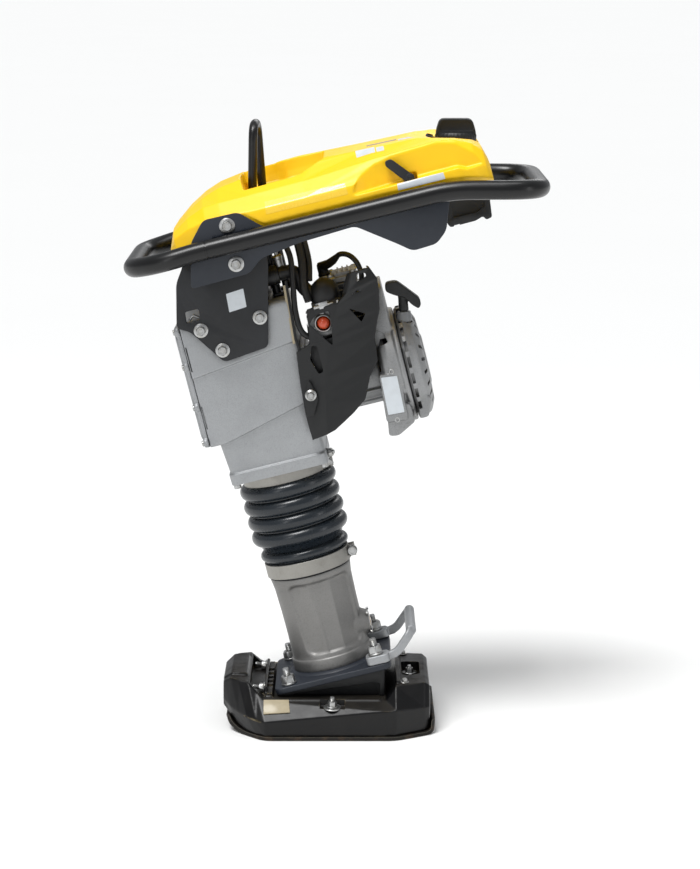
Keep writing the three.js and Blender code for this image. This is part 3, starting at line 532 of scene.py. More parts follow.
def casting(name, code, dark, roughness, grain, metallic=0.7):
    """Blasted cast metal: fine grain, a mottled sheen, pale specks painted in as glints and a mottled painted shade
    in the corners.
    """
    f = Finish(name, code, roughness, metallic)
    f.tint(dark, f.span(f.noise(13, 4), 0.42, 0.78), 0.35)
    f.tint(dark, f.span(f.noise(900, 2), 0.5, 0.66), 0.5)
    # Painted glints: pale specks set into the base colour.
    f.tint("E4E8EC", f.span(f.cells(1100), 0.14, 0.06), 0.45)
    # Painted shade: a dark mottled tint in the corners and recesses.
    f.tint("34322E", f.maths("MULTIPLY", f.painted_corner_shade(0.014), f.span(f.noise(50), 0.25, 0.7)), 0.85)
    f.gloss(f.noise(1100, 2), 0.22).gloss(f.noise(24), 0.1)
    return f.relief(f.noise(1000, 3), grain).relief(f.noise(180, 3), grain * 1.4)


def zinc():
    f = Finish("zinc_steel", "B9BABA", 0.26, 1.0)
    f.tint("8E8775", f.span(f.noise(140), 0.45, 0.75), 0.5)
    # Painted shade: near-black in the corners and recesses.
    f.tint("2A2723", f.painted_corner_shade(0.004), 0.7)
    f.gloss(f.noise(220), 0.24)
    return f.relief(f.noise(700, 3), 0.00012)


def turned_steel():
    f = Finish("machined_steel", "A2A09B", 0.36, 1.0, Anisotropic=0.4)
    f.tint("74716A", f.span(f.noise(500, 3, where=f.stretched("z", 14)), 0.4, 0.7), 0.5)
    f.tint("615D55", f.span(f.noise(40), 0.5, 0.8), 0.35)
    f.gloss(f.noise(600, 2, where=f.stretched("z", 14)), 0.2)
    return f.relief(f.noise(700, 2, where=f.stretched("z", 14)), 0.00008)


def sole_steel():
    f = Finish("sole_steel", "24221F", 0.5, 0.6)
    f.tint("5A4632", f.span(f.noise(50, 5), 0.5, 0.7), 0.5)
    f.tint("8A8578", f.edges(0.002, 0.01, 0.2), 0.6)
    f.gloss(f.noise(110), 0.25)
    return f.relief(f.noise(300, 4), 0.0003)


def bronze():
    f = Finish("bush_bronze", "A9793C", 0.32, 1.0)
    f.tint("6B4A22", f.span(f.noise(90), 0.45, 0.7), 0.5)
    return f.gloss(f.noise(300), 0.2).relief(f.noise(900, 2), 0.00008)


def primer_rubber():
    f = Finish("primer_red", "C8441C", 0.12, Transmission_Weight=0.1, IOR=1.45, Coat_Weight=0.6)
    f.tint("5A4A22", f.span(f.noise(90), 0.52, 0.66), 0.7)
    return f.gloss(f.noise(200), 0.1).relief(f.noise(300, 2), 0.0001)


def sight_glass():
    f = Finish("sight_glass", "B98A2C", 0.06, Coat_Weight=1.0, Transmission_Weight=0.3, IOR=1.5)
    f.tint("5E3D0E", f.span(f.noise(120), 0.4, 0.7), 0.6)
    return f.gloss(f.noise(160), 0.1).relief(f.noise(200, 2), 0.0001)


def rope_fibre():
    f = Finish("rope", "B7B09A", 0.85, Sheen_Weight=0.3)
    f.tint("6F6957", f.span(f.noise(1800), 0.4, 0.7), 0.6)
    return f.gloss(f.noise(900), 0.1).relief(f.noise(2500, 2), 0.0002)


def film(name, code, dark, roughness=0.35):
    """Printed or clear adhesive film, left blank."""
    f = Finish(name, code, roughness, Coat_Weight=0.4, Coat_Roughness=0.2)
    f.tint(dark, f.span(f.noise(70, 5), 0.45, 0.8), 0.4)
    return f.gloss(f.noise(120), 0.15).relief(f.noise(60, 2), 0.0002)


FINISHES = {f.name: f.material for f in (
    hood_plastic(), tube_paint(), matt_paint("bracket_paint", "0C0F14", "2C3139"),
    matt_paint("plate_paint", "1A202A", "39414D"), moulding("black_plastic", "050709", 0.4), shoe_plastic(),
    bellows_rubber(), black_rubber(), casting("case_casting", "A6A8AA", "828486", 0.34, 0.00018, 0.6),
    casting("leg_casting", "8B8A88", "646361", 0.35, 0.00012, 0.8),
    casting("engine_casting", "9A9B9C", "6E6E6B", 0.32, 0.0002), zinc(), turned_steel(), sole_steel(), bronze(),
    primer_rubber(), sight_glass(), rope_fibre(), film("blank_label", "CDD3D8", "B2B6B8"),
    film("clear_decal", "FAD040", "F2C428", 0.2), film("heat_strip", "A89C80", "7C7058", 0.55),
    matt_paint("lever_plastic", "16181B", "44464A"), film("guide_plastic", "6E7072", "4A4A48", 0.4),
)}


# ---------- camera, light and floor ----------
def lamp(name, kind, at, aim, power, **settings):
    data = bpy.data.lights.new(name, kind)
    data.energy = power
    for setting, value in settings.items():
        setattr(data, setting, value)
    obj = bpy.data.objects.new(name, data)
    obj.location = at
    obj.rotation_euler = (Vector(aim) - Vector(at)).to_track_quat("-Z", "Y").to_euler()
    obj.visible_camera = False
    scene.collection.objects.link(obj)


def set_stage():
    camera = bpy.data.objects.new("camera", bpy.data.cameras.new("camera"))
    camera.data.lens, camera.data.clip_end = 111.9, 500
    camera.location, camera.rotation_euler = (0.031, -4.25, 1.247), (math.radians(90 - 10.4), 0, 0)
    scene.collection.objects.link(camera)
    scene.camera = camera

    floor = made("floor", box((-200000, 200000), (-200000, 200000), (-40, 0)))
    floor.data.transform(MM)
    paint = Finish("floor_paint", "FAFAF9", 0.8)
    paint.tint("F6F6F4", paint.noise(0.8), 0.5)
    floor.data.materials.append(paint.material)

    world = bpy.data.worlds.new("studio")
    world.use_nodes = True
    scene.world = world
    world.node_tree.nodes["Background"].inputs["Color"].default_value = (0.95, 0.97, 1.0, 1)
    world.node_tree.nodes["Background"].inputs["Strength"].default_value = 0.4
    middle = (0, 0, 0.5)
    lamp("sky_box", "SUN", (-1.1, -1.3, 4), middle, 2.4, angle=math.radians(24))
    lamp("top_box", "AREA", (0.1, -0.3, 2.4), middle, 9, shape="RECTANGLE", size=1.5, size_y=0.5)
    lamp("front_box", "AREA", (-1.7, -2.9, 1.5), middle, 9, shape="RECTANGLE", size=0.5, size_y=1.6)
    lamp("side_box", "AREA", (2.4, -1.5, 1.3), middle, 6, shape="RECTANGLE", size=0.4, size_y=1.6)
    lamp("back_box", "AREA", (0.6, 2.6, 2.0), middle, 8, shape="RECTANGLE", size=1.6, size_y=0.8)
    scene.view_settings.view_transform = "Standard"


set_stage()

# ---------- shoe ----------
STUD_X, STUD_Y = 73, 77


def sole_plate():
    section = rounded([
        (-168, 24), (-163, 12), (-150, 3), (-136, 0), (155, 0), (165, 4), (167, 24),
        (161, 24), (160, 9), (153, 6), (-134, 6), (-147, 9), (-157, 15.5), (-162, 25.5),
    ], 5, 3)
    plan = [(-168, -74), (-106, -140), (104, -140), (168, -100), (168, 100), (104, 140), (-106, 140), (-168, 74)]
    obj = made("sole_plate_skin", plate("y", section, -140, 140))
    combine(obj, plate("z", plan, -1, 40, 14), "INTERSECT")
    place(ease(obj, 0.7), "foot", "sole_steel", "sole_plate", at=SHOE)


def shoe_ring(x, bottom_y, bottom_z, wall_y, wall_z, top_y, top_z):
    return [(x, -bottom_y, bottom_z), (x, bottom_y, bottom_z), (x, wall_y, wall_z),
            (x, top_y, top_z), (x, -top_y, top_z), (x, -wall_y, wall_z)]


def shoe_body():
    hull = loft([shoe_ring(*station) for station in (
        (-172, 62, 38, 66, 50, 60, 76), (-160, 76, 26, 84, 41, 72, 85), (-147, 90, 11, 100, 36, 84, 85),
        (-132, 108, 6.5, 118, 33, 92, 84), (-118, 124, 6.5, 130, 31, 100, 70), (-104, 136, 6.5, 139, 30, 112, 58),
        (88, 136, 6.5, 139, 48, 112, 58), (104, 134, 6.5, 138, 49, 104, 80), (150, 104, 6.5, 110, 46, 88, 82),
        (158, 98, 11, 103, 46, 84, 76))])
    ridge = loft([shoe_ring(*station) for station in (
        (-172, 50, 60, 52, 62, 46, 79), (-158, 60, 60, 64, 64, 58, 90), (-135, 60, 60, 64, 64, 58, 90),
        (-129, 60, 60, 64, 62, 58, 78))])
    frame_strip = merged(box((-104, -92), (-100, 100), (56, 64)), box((-106, -101), (-88, 88), (56, 74)),
                         box((-104, 80), (-112, -101), (56, 60.5)), box((-104, 80), (101, 112), (56, 60.5)))
    heel_rail = plate("z", rect(104, -92, 112, 92), 78, 85, 3)
    rear_lip = plate("z", [(150, -84), (159.5, -80), (159.5, 80), (150, 84)], 10, 62)
    obj = made("shoe_shell", merged(hull, ridge, frame_strip, heel_rail, rear_lip))
    cast(obj, 1.7, 2)
    bolt_pocket = plate("x", [(-144, 49.5), (-112, 49.5), (-110, 76), (-144, 76)], -17, 23, 2)
    carve(obj, box((-129, -106), (-86, 86), (60.5, 95)), bolt_pocket, mirrored(bolt_pocket),
          plate("z", [(114, -44), (144, -38), (144, 38), (114, 44)], 66, 95, 8),
          merged(box((157, 164), (-30, 4), (26, 40)), box((157, 164), (-60, -44), (12, 70)),
                 box((157, 164), (44, 60), (12, 70))))
    for side, _, _ in SIDES:
        groove = tube([(-150, side * 101, 35), (-104, side * 140.5, 29), (88, side * 140.5, 47.5),
                       (104, side * 139, 48.5), (151, side * 110, 45.5)], 0.9, 8)
        carve(obj, groove)
    place(obj, "foot", "shoe_plastic", "shoe_body", at=SHOE, angle=30)


def shoe_details():
    pad = [(-106, -130, 41), (-64, -131, 44), (-66, -113, 59.5), (-106, -113, 59.5)]
    outward = Vector((0, -0.6, 0.8))
    plane = [Vector(p) for p in pad]
    piece("shoe_corner_pad", both(loft([[p - outward for p in plane], [p + 1.3 * outward for p in plane]])),
          "foot", "heat_strip", bevel=0.6, at=SHOE)
    nut = merged(washer(9, 4, 1.6), hexagon(13, 7, 1.6), threaded(3.9, 0, 19, 1.3))
    front = merged(*[aimed(nut, (-106.4, y, 67), (-1, 0, 0.14)) for y in (-68, 68)])
    lock = merged(*[shifted(spun(tube([(8.6 * math.cos(a), 8.6 * math.sin(a), 0.5 * a) for a in
                    (0.2 * k for k in range(29))], 1.1, 8), 90, "Y"), -108, y, 67) for y in (-68, 68)])
    big = merged(washer(14, 5, 2.2), washer(9, 4, 2, 2.2), hexagon(13, 8, 4.2), threaded(4, 8, 19, 1.3))
    sides = both(aimed(big, (3, -124, 49.6), (0, -0.12, 1)))
    rear = merged(*[aimed(merged(washer(12, 5, 2), hexagon(12, 7, 2), threaded(3.6, 6, 13)),
                          (128, y, 66), (0, 0, 1)) for y in (-26, 26)])
    small = both(aimed(merged(washer(7, 3, 1.2), hexagon(8, 5, 1.2)), (118, -86, 81.4), (0.02, -0.06, 1)))
    fitting("shoe_bolts", front, lock, sides, rear, small, body="foot", at=SHOE)
    strip = merged(box((-101, -93), (-97, 97), (63, 66)), *[box((-104, -93), (y - 3, y + 3), (63, 68.5))
                                                           for y in (-48, -24, 0, 24, 48)])
    piece("shoe_front_bar", strip, "foot", "shoe_plastic", bevel=0.9, at=SHOE)


def foot_wedge():
    low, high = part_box("foot_wedge")
    front, rear, half = low.x * 1000, high.x * 1000, high.y * 1000
    slope = math.tan(LEAN)
    top = high.z * 1000 - 0.4
    section = [(front, 58.2), (rear, 58.2), (rear, top), (front, top - (rear - front) * slope)]
    obj = made("wedge_block", plate("y", section, -half, half))
    slot = plate("y", [(-60, 55), (78, 55), (78, 78), (70, 80), (-60, 61)], -half - 2, -half + 5)
    carve(obj, slot, mirrored(slot))
    place(ease(obj, 1.6), "foot", "black_plastic", "foot_wedge", at=SHOE)


sole_plate()
shoe_body()
shoe_details()
foot_wedge()

# ---------- leg ----------
CREASES = (-40, -5, 27, 70)  # creases between the flats on each flank, in degrees rearward of straight out


def hollow(degrees, z):
    """How far each flank's flats lie inside the round of the casting, in millimetres."""
    rearward = math.degrees(math.asin(math.cos(math.radians(degrees))))
    lean = (110 - z) * 0.06 if rearward < 0 else 0
    place_on = rearward - lean
    for start, end in zip(CREASES, CREASES[1:]):
        if start <= place_on <= end:
            half, off = math.radians((end - start) / 2), math.radians(place_on - (start + end) / 2)
            flat = 61 * (1 - math.cos(half) / math.cos(off))
            break
    else:
        return 0.0
    # Distance inside the outline, which has rounded corners, fades the hollow in.
    middle, half = (CREASES[0] + CREASES[-1]) / 2, (CREASES[-1] - CREASES[0]) / 2
    corner = 17
    dx = max(abs(place_on - middle) * 1.07 - (half * 1.07 - corner), 0)
    dz = max(abs(z - 89) - (61 - corner), 0)
    t = min(max((corner - math.hypot(dx, dz)) / 5.5, 0), 1)
    return (2.3 + flat) * t * t * (3 - 2 * t)


def spring_cylinder():
    def radius(z):
        stops = [(0.3, 64.2), (1.5, 65), (18, 65), (21, 64.4), (23, 62.6), (28, 61.9), (60, 61.6), (100, 62),
                 (140, 63.4), (152, 65.2), (157, 66), (159, 65.6), (160.2, 62)]
        for (a, r), (b, s) in zip(stops, stops[1:]):
            if z <= b:
                return r + (s - r) * max(0, (z - a) / (b - a))
        return 62

    levels = [0.3, 0.9, 1.5, 8, 14, 18, 19, 20, 21, 22, 23, 24, 26] + [28 + 2 * i for i in range(62)]
    levels += [152.5, 154, 155.5, 157, 158, 159, 160.2, 170, 182]
    rings = []
    for z in levels:
        ring = []
        for i in range(240):
            degrees = i * 1.5
            r = radius(z) - hollow(degrees, z)
            # The boss of the sight glass swells out of the rear.
            a = math.radians(degrees)
            y, up = r * math.sin(a), z - 52
            boss = max(0.0, 1 - math.hypot(y, up) / 31)
            if math.cos(a) > 0.3 and boss > 0:
                x = max(r * math.cos(a), min(72.4, 46 + 62 * boss))
                ring.append((x, y, z))
            else:
                ring.append((r * math.cos(a), y, z))
        rings.append(ring)
    floor, well = 22, 50
    inner = [[(r * math.cos(math.radians(1.5 * i)), r * math.sin(math.radians(1.5 * i)), z) for i in range(240)]
             for r, z in ((well, 182), (well, floor), (0, floor))]
    obj = made("spring_cylinder_casting", loft(rings + inner))
    glass = rod("x", 12.4, 66, 80, 0, 52, edge=0.1)
    carve(obj, glass)
    place(obj, "foot", "leg_casting", "spring_cylinder", angle=48)
    ribs = [(12 + 0.2, 73.4), (17, 73.4), (17.6, 72.4), (17.6, 70), (12.2, 70)]
    piece("sight_glass_rim", merged(
        lathe("x", ribs, 0, 52, closed=True),
        *[rod("x", 2.6, 70, 74.2, 22.2 * math.cos(a), 52 + 22.2 * math.sin(a), 20)
          for a in (math.pi / 4 + math.pi / 2 * k for k in range(4))]), "foot", "zinc_steel")
    piece("sight_glass_lens", lathe("x", [(0, 66.4), (11.9, 66.4), (11.9, 72), (10.5, 73.4), (5, 74.4), (0, 74.8)],
                                    0, 52), "foot", "sight_glass", "oil_sight_glass")


def cylinder_flange():
    corners = rect(-97, -95, 93, 95)
    obj = made("flange_plate", plate("z", corners, -10, -0.2, 16, 8))
    ease(obj, 1.6, 3)
    place(obj, "foot", "plate_paint", "cylinder_flange")
    ring = lathe("z", [(65.3, -0.4), (74, -0.4), (72.5, 1.4), (67, 3.4), (65.3, 3.4)], closed=True, sides=96)
    piece("flange_ring", ring, "foot", "plate_paint")


def flange_nuts():
    stack = merged(washer(12, 5.6, 3), hexagon(20, 11.5, 3.1), threaded(5.4, 3, 26.4, 1.75))
    bases = {"front": (-STUD_X, 0.3), "rear": (STUD_X, 14.3)}
    for end, (x, base) in bases.items():
        for side, y in (("left", -STUD_Y), ("right", STUD_Y)):
            turned = spun(stack, chance.uniform(0, 60), "Z")
            piece(f"nut_{end}_{side}", shifted(turned, x, y, base), "foot", "zinc_steel", f"flange_nut_{end}_{side}")


def lift_handle():
    def arm(side):
        route = bent([(84, side * STUD_Y, 7), (105, side * STUD_Y, 7, 12), (133, side * 74, 33, 8),
                      (137, side * 62, 37)], 8)
        heading = Vector((0, 1, 0))
        rings = []
        for i, at in enumerate(route):
            ahead = (route[min(i + 1, len(route) - 1)] - route[max(i - 1, 0)]).normalized()
            side_way = (heading - ahead * heading.dot(ahead)).normalized()
            up = ahead.cross(side_way)
            shape = rounded(rect(-5.5, -6.6, 5.5, 6.6), 2.5, 3)
            rings.append([at + p.x * side_way + p.y * up for p in shape])
        return loft(rings)

    def lug(y):
        return plate("z", rect(56, y - 16, 93, y + 16), 0.4, 14, 9)

    grip = tube([(136, y, 36) for y in range(-68, 69, 8)], 8.3, 24)
    web = plate("y", [(88, 1), (104, 1), (120, 17), (108, 17), (92, 13)], -STUD_Y - 4, -STUD_Y + 4)
    obj = made("lift_handle_casting", merged(arm(-1), arm(1), lug(-STUD_Y), lug(STUD_Y), grip, both(web)))
    cast(obj, 1.1, 3)
    carve(obj, rod("z", 6.3, -4, 30, STUD_X, -STUD_Y), rod("z", 6.3, -4, 30, STUD_X, STUD_Y))
    place(obj, "foot", "case_casting", "shoe_lift_handle", angle=50)


FOLDS = [304.6 - 25.7 * i for i in range(4)]


def bellows():
    crest, core = 11.4, 67.4
    outer = [(66.3, 332), (66.3, 322), (66.2, 317.6)]
    for z in FOLDS:
        for k in range(-9, 10):
            a = math.radians(-k * 9.2)
            outer.append((core + crest * math.cos(a), z + crest * math.sin(a) * 1.06))
    for k in range(-8, 10):
        a = math.radians(-k * 10)
        outer.append((62.4 + 9.6 * math.cos(a), 196 + 8.4 * math.sin(a)))
    outer += [(66.3, 186), (66.3, 160.6), (63.6, 160.4), (63.6, 332)]
    obj = made("bellows_folds", lathe("z", outer, sides=160, closed=True))
    place(obj, None, "bellows_rubber", "bellows", angle=60)
    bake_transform(obj)


def band(name, node, body, low, high, across):
    profile = [(66.8, low), (68.6, low), (69, low + 0.5), (69, high - 0.5), (68.6, high), (66.8, high)]
    strap = lathe("z", profile, sides=128, closed=True)
    middle = (low + high) / 2
    lugs = merged(*[plate("z", rect(67.6, y0, 78.6, y1), low + 2, high - 2, 1.2)
                    for y0, y1 in ((-8.6, -5.6), (5.6, 8.6))])
    piece(name, merged(strap, lugs), body, "machined_steel", node, angle=30)
    screw = merged(shifted(flange_bolt(across, 0.62), 0, 0, 8.6), rod("z", 3, -11, 9), hexagon(9, -5, -8.6))
    piece(name + "_screw", aimed(screw, (73.4, 0, middle), (0, -1, 0)), body, "zinc_steel")


def leg_springs():
    def coil(radius, wire, start, end, turns):
        steps = int(turns * 36)
        return tube([(radius * math.cos(2 * math.pi * turns * k / steps), radius * math.sin(
            2 * math.pi * turns * k / steps), start + wire + (end - start - 2 * wire) * k / steps)
            for k in range(steps + 1)], wire, 12)

    lower = place(made("lower_spring_coil", coil(38, 5, 22.3, 105.7, 4)), None, "machined_steel", "lower_spring")
    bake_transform(lower)
    upper = place(made("upper_spring_coil", coil(42, 4.5, 118.3, 181.7, 3.5)), None, "machined_steel",
                  "upper_spring")
    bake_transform(upper)


spring_cylinder()
cylinder_flange()
flange_nuts()
lift_handle()
bellows()
band("lower_band", "lower_bellows_clamp", "foot", 162, 185, 14)
band("upper_band", "upper_bellows_clamp", "machine", 313.5, 332.6, 9.5)
leg_springs()

# ---------- crankcase ----------
CASE_TOP = 604


def crankcase():
    def ring(z, front, rear, half, chamfer):
        return [(x, y, z) for x, y in rounded(
            rect(front, -half, rear, half), chamfer, 4)]

    lower = loft([ring(333.4, -82, 76, 80, 15), ring(351, -82.5, 76, 81, 15), ring(352.5, -80, 75, 77, 16),
                  ring(440, -88, 74, 82.4, 24)])

    def slab(name, half, side):
        across = rect(-half, 398, half, CASE_TOP)
        part = made(name, plate("x", across, -98, 75, 11))
        combine(part, plate("y", side, -half - 1, half + 1), "INTERSECT")
        ease(part, 1.6, 3)
        shape = ([v.co.copy() for v in part.data.vertices], [list(f.vertices) for f in part.data.polygons])
        bpy.data.objects.remove(part)
        return shape

    block = slab("case_block", 86.4, [(-99, 403), (-73, 403), (75.5, 440), (75.5, 605), (-99, 605)])
    brow = slab("case_brow", 90, [(-99, 515), (75.5, 536), (75.5, 605), (-99, 605)])
    shell = made("crankcase_skin", lower)
    combine(shell, block, "UNION")
    combine(shell, brow, "UNION")
    ribs = merged(*[plate("y", rect(70, z, 75.2, z + 6), -70, 70) for z in (380, 570)])
    combine(shell, ribs, "UNION")
    cast(shell, 1.25, 1)
    cavity = box((-99.5, 45), (-76, 76), (402, 598))
    carve(shell, cavity, rod("z", 44.5, 320, 403, sides=64), rod("x", 30.5, 44, 62, 0, 526.2),
          rod("x", 20.5, 44, 62, 0, 447), rod("x", 12, 60, 78, 0, 447))
    for low, high in ((433, 470), (527, 567)):
        slot = box((-96.6, -94.4), (-99, -84), (low, high))
        carve(shell, slot, mirrored(slot))
    place(shell, "machine", "case_casting", "crankcase", angle=40)
    bolts = []
    for x in (-74, 68):
        for y in (-66, 66):
            bolts.append(aimed(socket_screw(6, 7), (x, y, 333.3), (0, 0, -1)))
    fitting("case_bottom_screws", *bolts)
    plug = merged(washer(8.5, 4, 1.6), hexagon(13, 7, 1.6), rod("z", 3.4, 8, 12))
    fittings = merged(aimed(plug, (76, -52, 345), (1, -0.2, 0)), aimed(plug, (75, 40, 380), (1, 0, 0)))
    fitting("case_plugs", fittings)


def crankcase_cover():
    panel = plate("x", [(-85, 403), (85, 403), (87, 515), (87, 602), (-87, 602), (-87, 515)], -104.8, -98.1, 10)
    raised = plate("x", rect(-78, 415, 78, 590), -109, -103, 16)
    ribs = merged(*[plate("x", rect(y - 2, 430, y + 2, 575), -110, -108, 1.5) for y in (-48, -24, 0, 24, 48)])
    spots = [(y, z) for y in (-83, 83) for z in (412, 470, 536, 593)]
    boss = merged(*[rod("x", 7.5, -99, -106.5, y, z) for y, z in spots])
    obj = made("cover_skin", merged(panel, raised, ribs, boss))
    cast(obj, 1.5, 2)
    place(obj, "machine", "case_casting", "crankcase_cover", angle=45)
    screws = [aimed(socket_screw(4.6, 3.2), (-106.4, y, z), (-1, 0, 0)) for y, z in spots]
    fitting("cover_screws", *screws)


# ---------- brackets and handle ----------
BRACKET = [(-42, 531), (30, 538), (62, 664), (64, 698), (-66, 696), (-70, 688), (-84, 668), (-101, 600), (-82, 590)]
SIDE_PLATE = [
    (-60, 659), (33, 661), (56, 679), (119, 688), (207, 692), (264, 650), (284, 634), (322, 636),
    (341, 652), (358, 699), (330, 713), (90, 718), (69, 727), (39, 756), (-16, 757), (-43, 727), (-50, 698),
]
ROCK = (17, 680)


def brackets():
    for side, name, flip in SIDES:
        obj = made(f"bracket_{name}", flip(plate("y", BRACKET, 90.4, 98.2, 8)))
        carve(obj, flip(plate("y", [(-84, 604), (-62, 604), (-60, 622), (-82, 622)], 80, 110, 4)))
        ease(obj, 1.1, 3)
        place(obj, "machine", "bracket_paint", f"mount_bracket_{name}")
        bolt = flange_bolt(13)
        heads = [aimed(spun(bolt, chance.uniform(0, 60), "Z"), (x, side * 98.2, z), (0, side, 0))
                 for x, z in ((-65, 588), (-40, 550), (29, 586))]
        fitting(f"bracket_bolts_{name}", *heads)
        hook = tube(bent([(-80, side * 84, 606), (-72, side * 84, 613, 4), (-64, side * 84, 606)]), 2.2, 12)
        fitting(f"tie_down_bar_{name}", hook)
        label = flip(plate("y", [(-15, 605), (13, 607), (15, 636), (-13, 634)], 98.2, 98.5, 1.2))
        piece(f"bracket_label_{name}", label, "machine", "blank_label")


def side_plates():
    for side, name, flip in SIDES:
        obj = made(f"plate_{name}", flip(plate("y", SIDE_PLATE, 136.9, 141.1, 8, 8)))
        ease(obj, 0.8, 2)
        place(obj, "handle", "plate_paint", f"side_plate_{name}")
        bolt = flange_bolt(14)
        heads = [aimed(spun(bolt, chance.uniform(0, 60), "Z"), (x, side * 141.1, z), (0, side, 0))
                 for x, z in (ROCK, (18, 740))]
        fitting(f"plate_bolts_{name}", *heads, body="handle")
        beads = []
        for low, high, z in ((-8, 62, 727.6), (150, 205, 699.4), (290, 335, 698.6)):
            count = int((high - low) / 2.6)
            for k in range(count):
                x = low + 2.6 * k
                level = z - (0.012 * (x - low))
                beads.append(aimed(lathe("z", [(0, -1.2), (2.2, -0.9), (3.1, 0), (2.2, 0.9), (0, 1.2)], sides=12),
                                   (x, side * 142.2, level + chance.uniform(-0.3, 0.3)), (1, 0, 0)))
        piece(f"weld_beads_{name}", merged(*beads), "handle", "plate_paint")


def shock_mounts():
    for side, name, flip in SIDES:
        profile = [(0, 98.8), (21, 98.8), (21, 101.5), (19, 103), (17.6, 110), (17.2, 117.6), (17.6, 125),
                   (19, 132), (21, 134), (21, 136.5), (0, 136.5)]
        piece(f"buffer_{name}", flip(lathe("y", profile, *ROCK)), "machine", "black_rubber",
              f"shock_mount_{name}")


def guide_handle():
    drop = math.tan(LEAN)
    rear_z = 712 - (498 - 362) * drop

    reach = 156.5  # half the width between the tubes' middles

    def loop(name, node, *corners):
        """A tube through the corners on the left side and back through the same on the right."""
        left = [(x, -y, *rest) for x, y, *rest in corners]
        line = bent(left + list(corners[::-1]), 14)
        piece(name, tube(line, 14.9, 40), "handle", "black_tube", node, angle=60)

    loop("handle_tube", "guide_handle", (-18.8, reach, 713), (362, reach, 712, 34), (498, reach, rear_z, 62))
    loop("front_loop_tube", "front_loop", (-21.4, reach, 713), (-40, reach, 713, 10), (-96, reach, 710, 30),
         (-142, 118, 709, 26))
    collar = rod("x", 13.6, -24, -16, reach, 713)
    piece("tube_collars", both(collar), "handle", "black_tube")


def lifting_bail():
    near = [(61, -32, 604.4), (61, -32, 768, 20), (89, -32, 872, 26)]
    far = [(93, 32, 872, 26), (75, 32, 768, 20), (75, 32, 604.4)]
    line = bent(near + far, 14)
    piece("bail_bar", tube(line, 7, 32), "machine", "black_tube", "lifting_bail", angle=60)
    piece("bail_feet", both(plate("z", rect(53, 22, 74, 44), 604.4, 609, 4)),
          "machine", "black_tube", bevel=0.8)


crankcase()
crankcase_cover()
brackets()
side_plates()
shock_mounts()
guide_handle()
lifting_bail()

# ---------- tank ----------
TANK_STATIONS = (
    # x, base y z, side y z, brink y z, shoulder y z, crown y z
    (-80, 84, 706, 88, 712, 88, 717, 80, 720, 56, 722), (-69, 104, 702, 112, 722, 108, 736, 92, 745, 60, 749),
    (-42, 120, 702, 129, 725, 124, 748, 100, 762, 64, 769), (-14, 126, 702, 136, 730, 132, 754, 108, 773, 68, 784),
    (12, 127, 702, 138, 731, 136, 753, 112, 775, 70, 793), (60, 128, 702, 140, 731, 137, 752, 112, 775, 70, 800),
    (144, 128, 702, 140, 731, 137, 752, 112, 776, 70, 802), (258, 128, 702, 140, 731, 137, 754, 114, 783, 72, 797),
    (357, 128, 702, 140, 729, 136, 754, 115, 786, 73, 794), (386, 124, 702, 136, 725, 133, 750, 113, 781, 72, 788),
    (410, 114, 702, 128, 718, 124, 742, 108, 769, 70, 775), (424, 104, 702, 118, 712, 116, 730, 102, 755, 66, 760),
    (430.4, 94, 702, 109, 708, 107, 717, 94, 732, 62, 737),
)
CAP_SEAT = 766
ON_CAP = Matrix.Translation((388.5, 0, CAP_SEAT)) @ Matrix.Rotation(LEAN, 4, "Y")  # upright on the filler


def tank_ring(x, *pairs):
    right = [(pairs[i], pairs[i + 1]) for i in range(0, len(pairs), 2)]
    return [(x, y, z) for y, z in right] + [(x, -y, z) for y, z in right[::-1]]


def stuck_on(skin, prism, name, finish, proud=0.4):
    """A film that follows the surface of skin inside prism."""
    sheet = skin.copy()
    sheet.data = skin.data.copy()
    sheet.name = sheet.data.name = name
    scene.collection.objects.link(sheet)
    outward = [v.normal * proud for v in sheet.data.vertices]
    for vertex, shift in zip(sheet.data.vertices, outward):
        vertex.co += shift
    combine(sheet, prism, "INTERSECT")
    place(sheet, "handle", finish)


def throttle_recess():
    """Cutter for the scoop beside the throttle: it deepens from its front end and runs out at the rear."""
    def ring(x, inner, low, high):
        return [(x, inner, low + 2), (x, inner + 2, low), (x, 150, low - 2), (x, 150, high + 4),
                (x, inner + 4, high), (x, inner, high - 3)]
    return loft([ring(213, 141, 738, 742), ring(222, 134, 738, 754), ring(236, 127, 738.5, 770),
                 ring(258, 120, 739, 784), ring(284, 116.6, 740, 796), ring(378, 116.4, 741.5, 800),
                 ring(382, 116.4, 741, 800), ring(394, 116.4, 735.5, 800), ring(445, 116.4, 736, 800)])


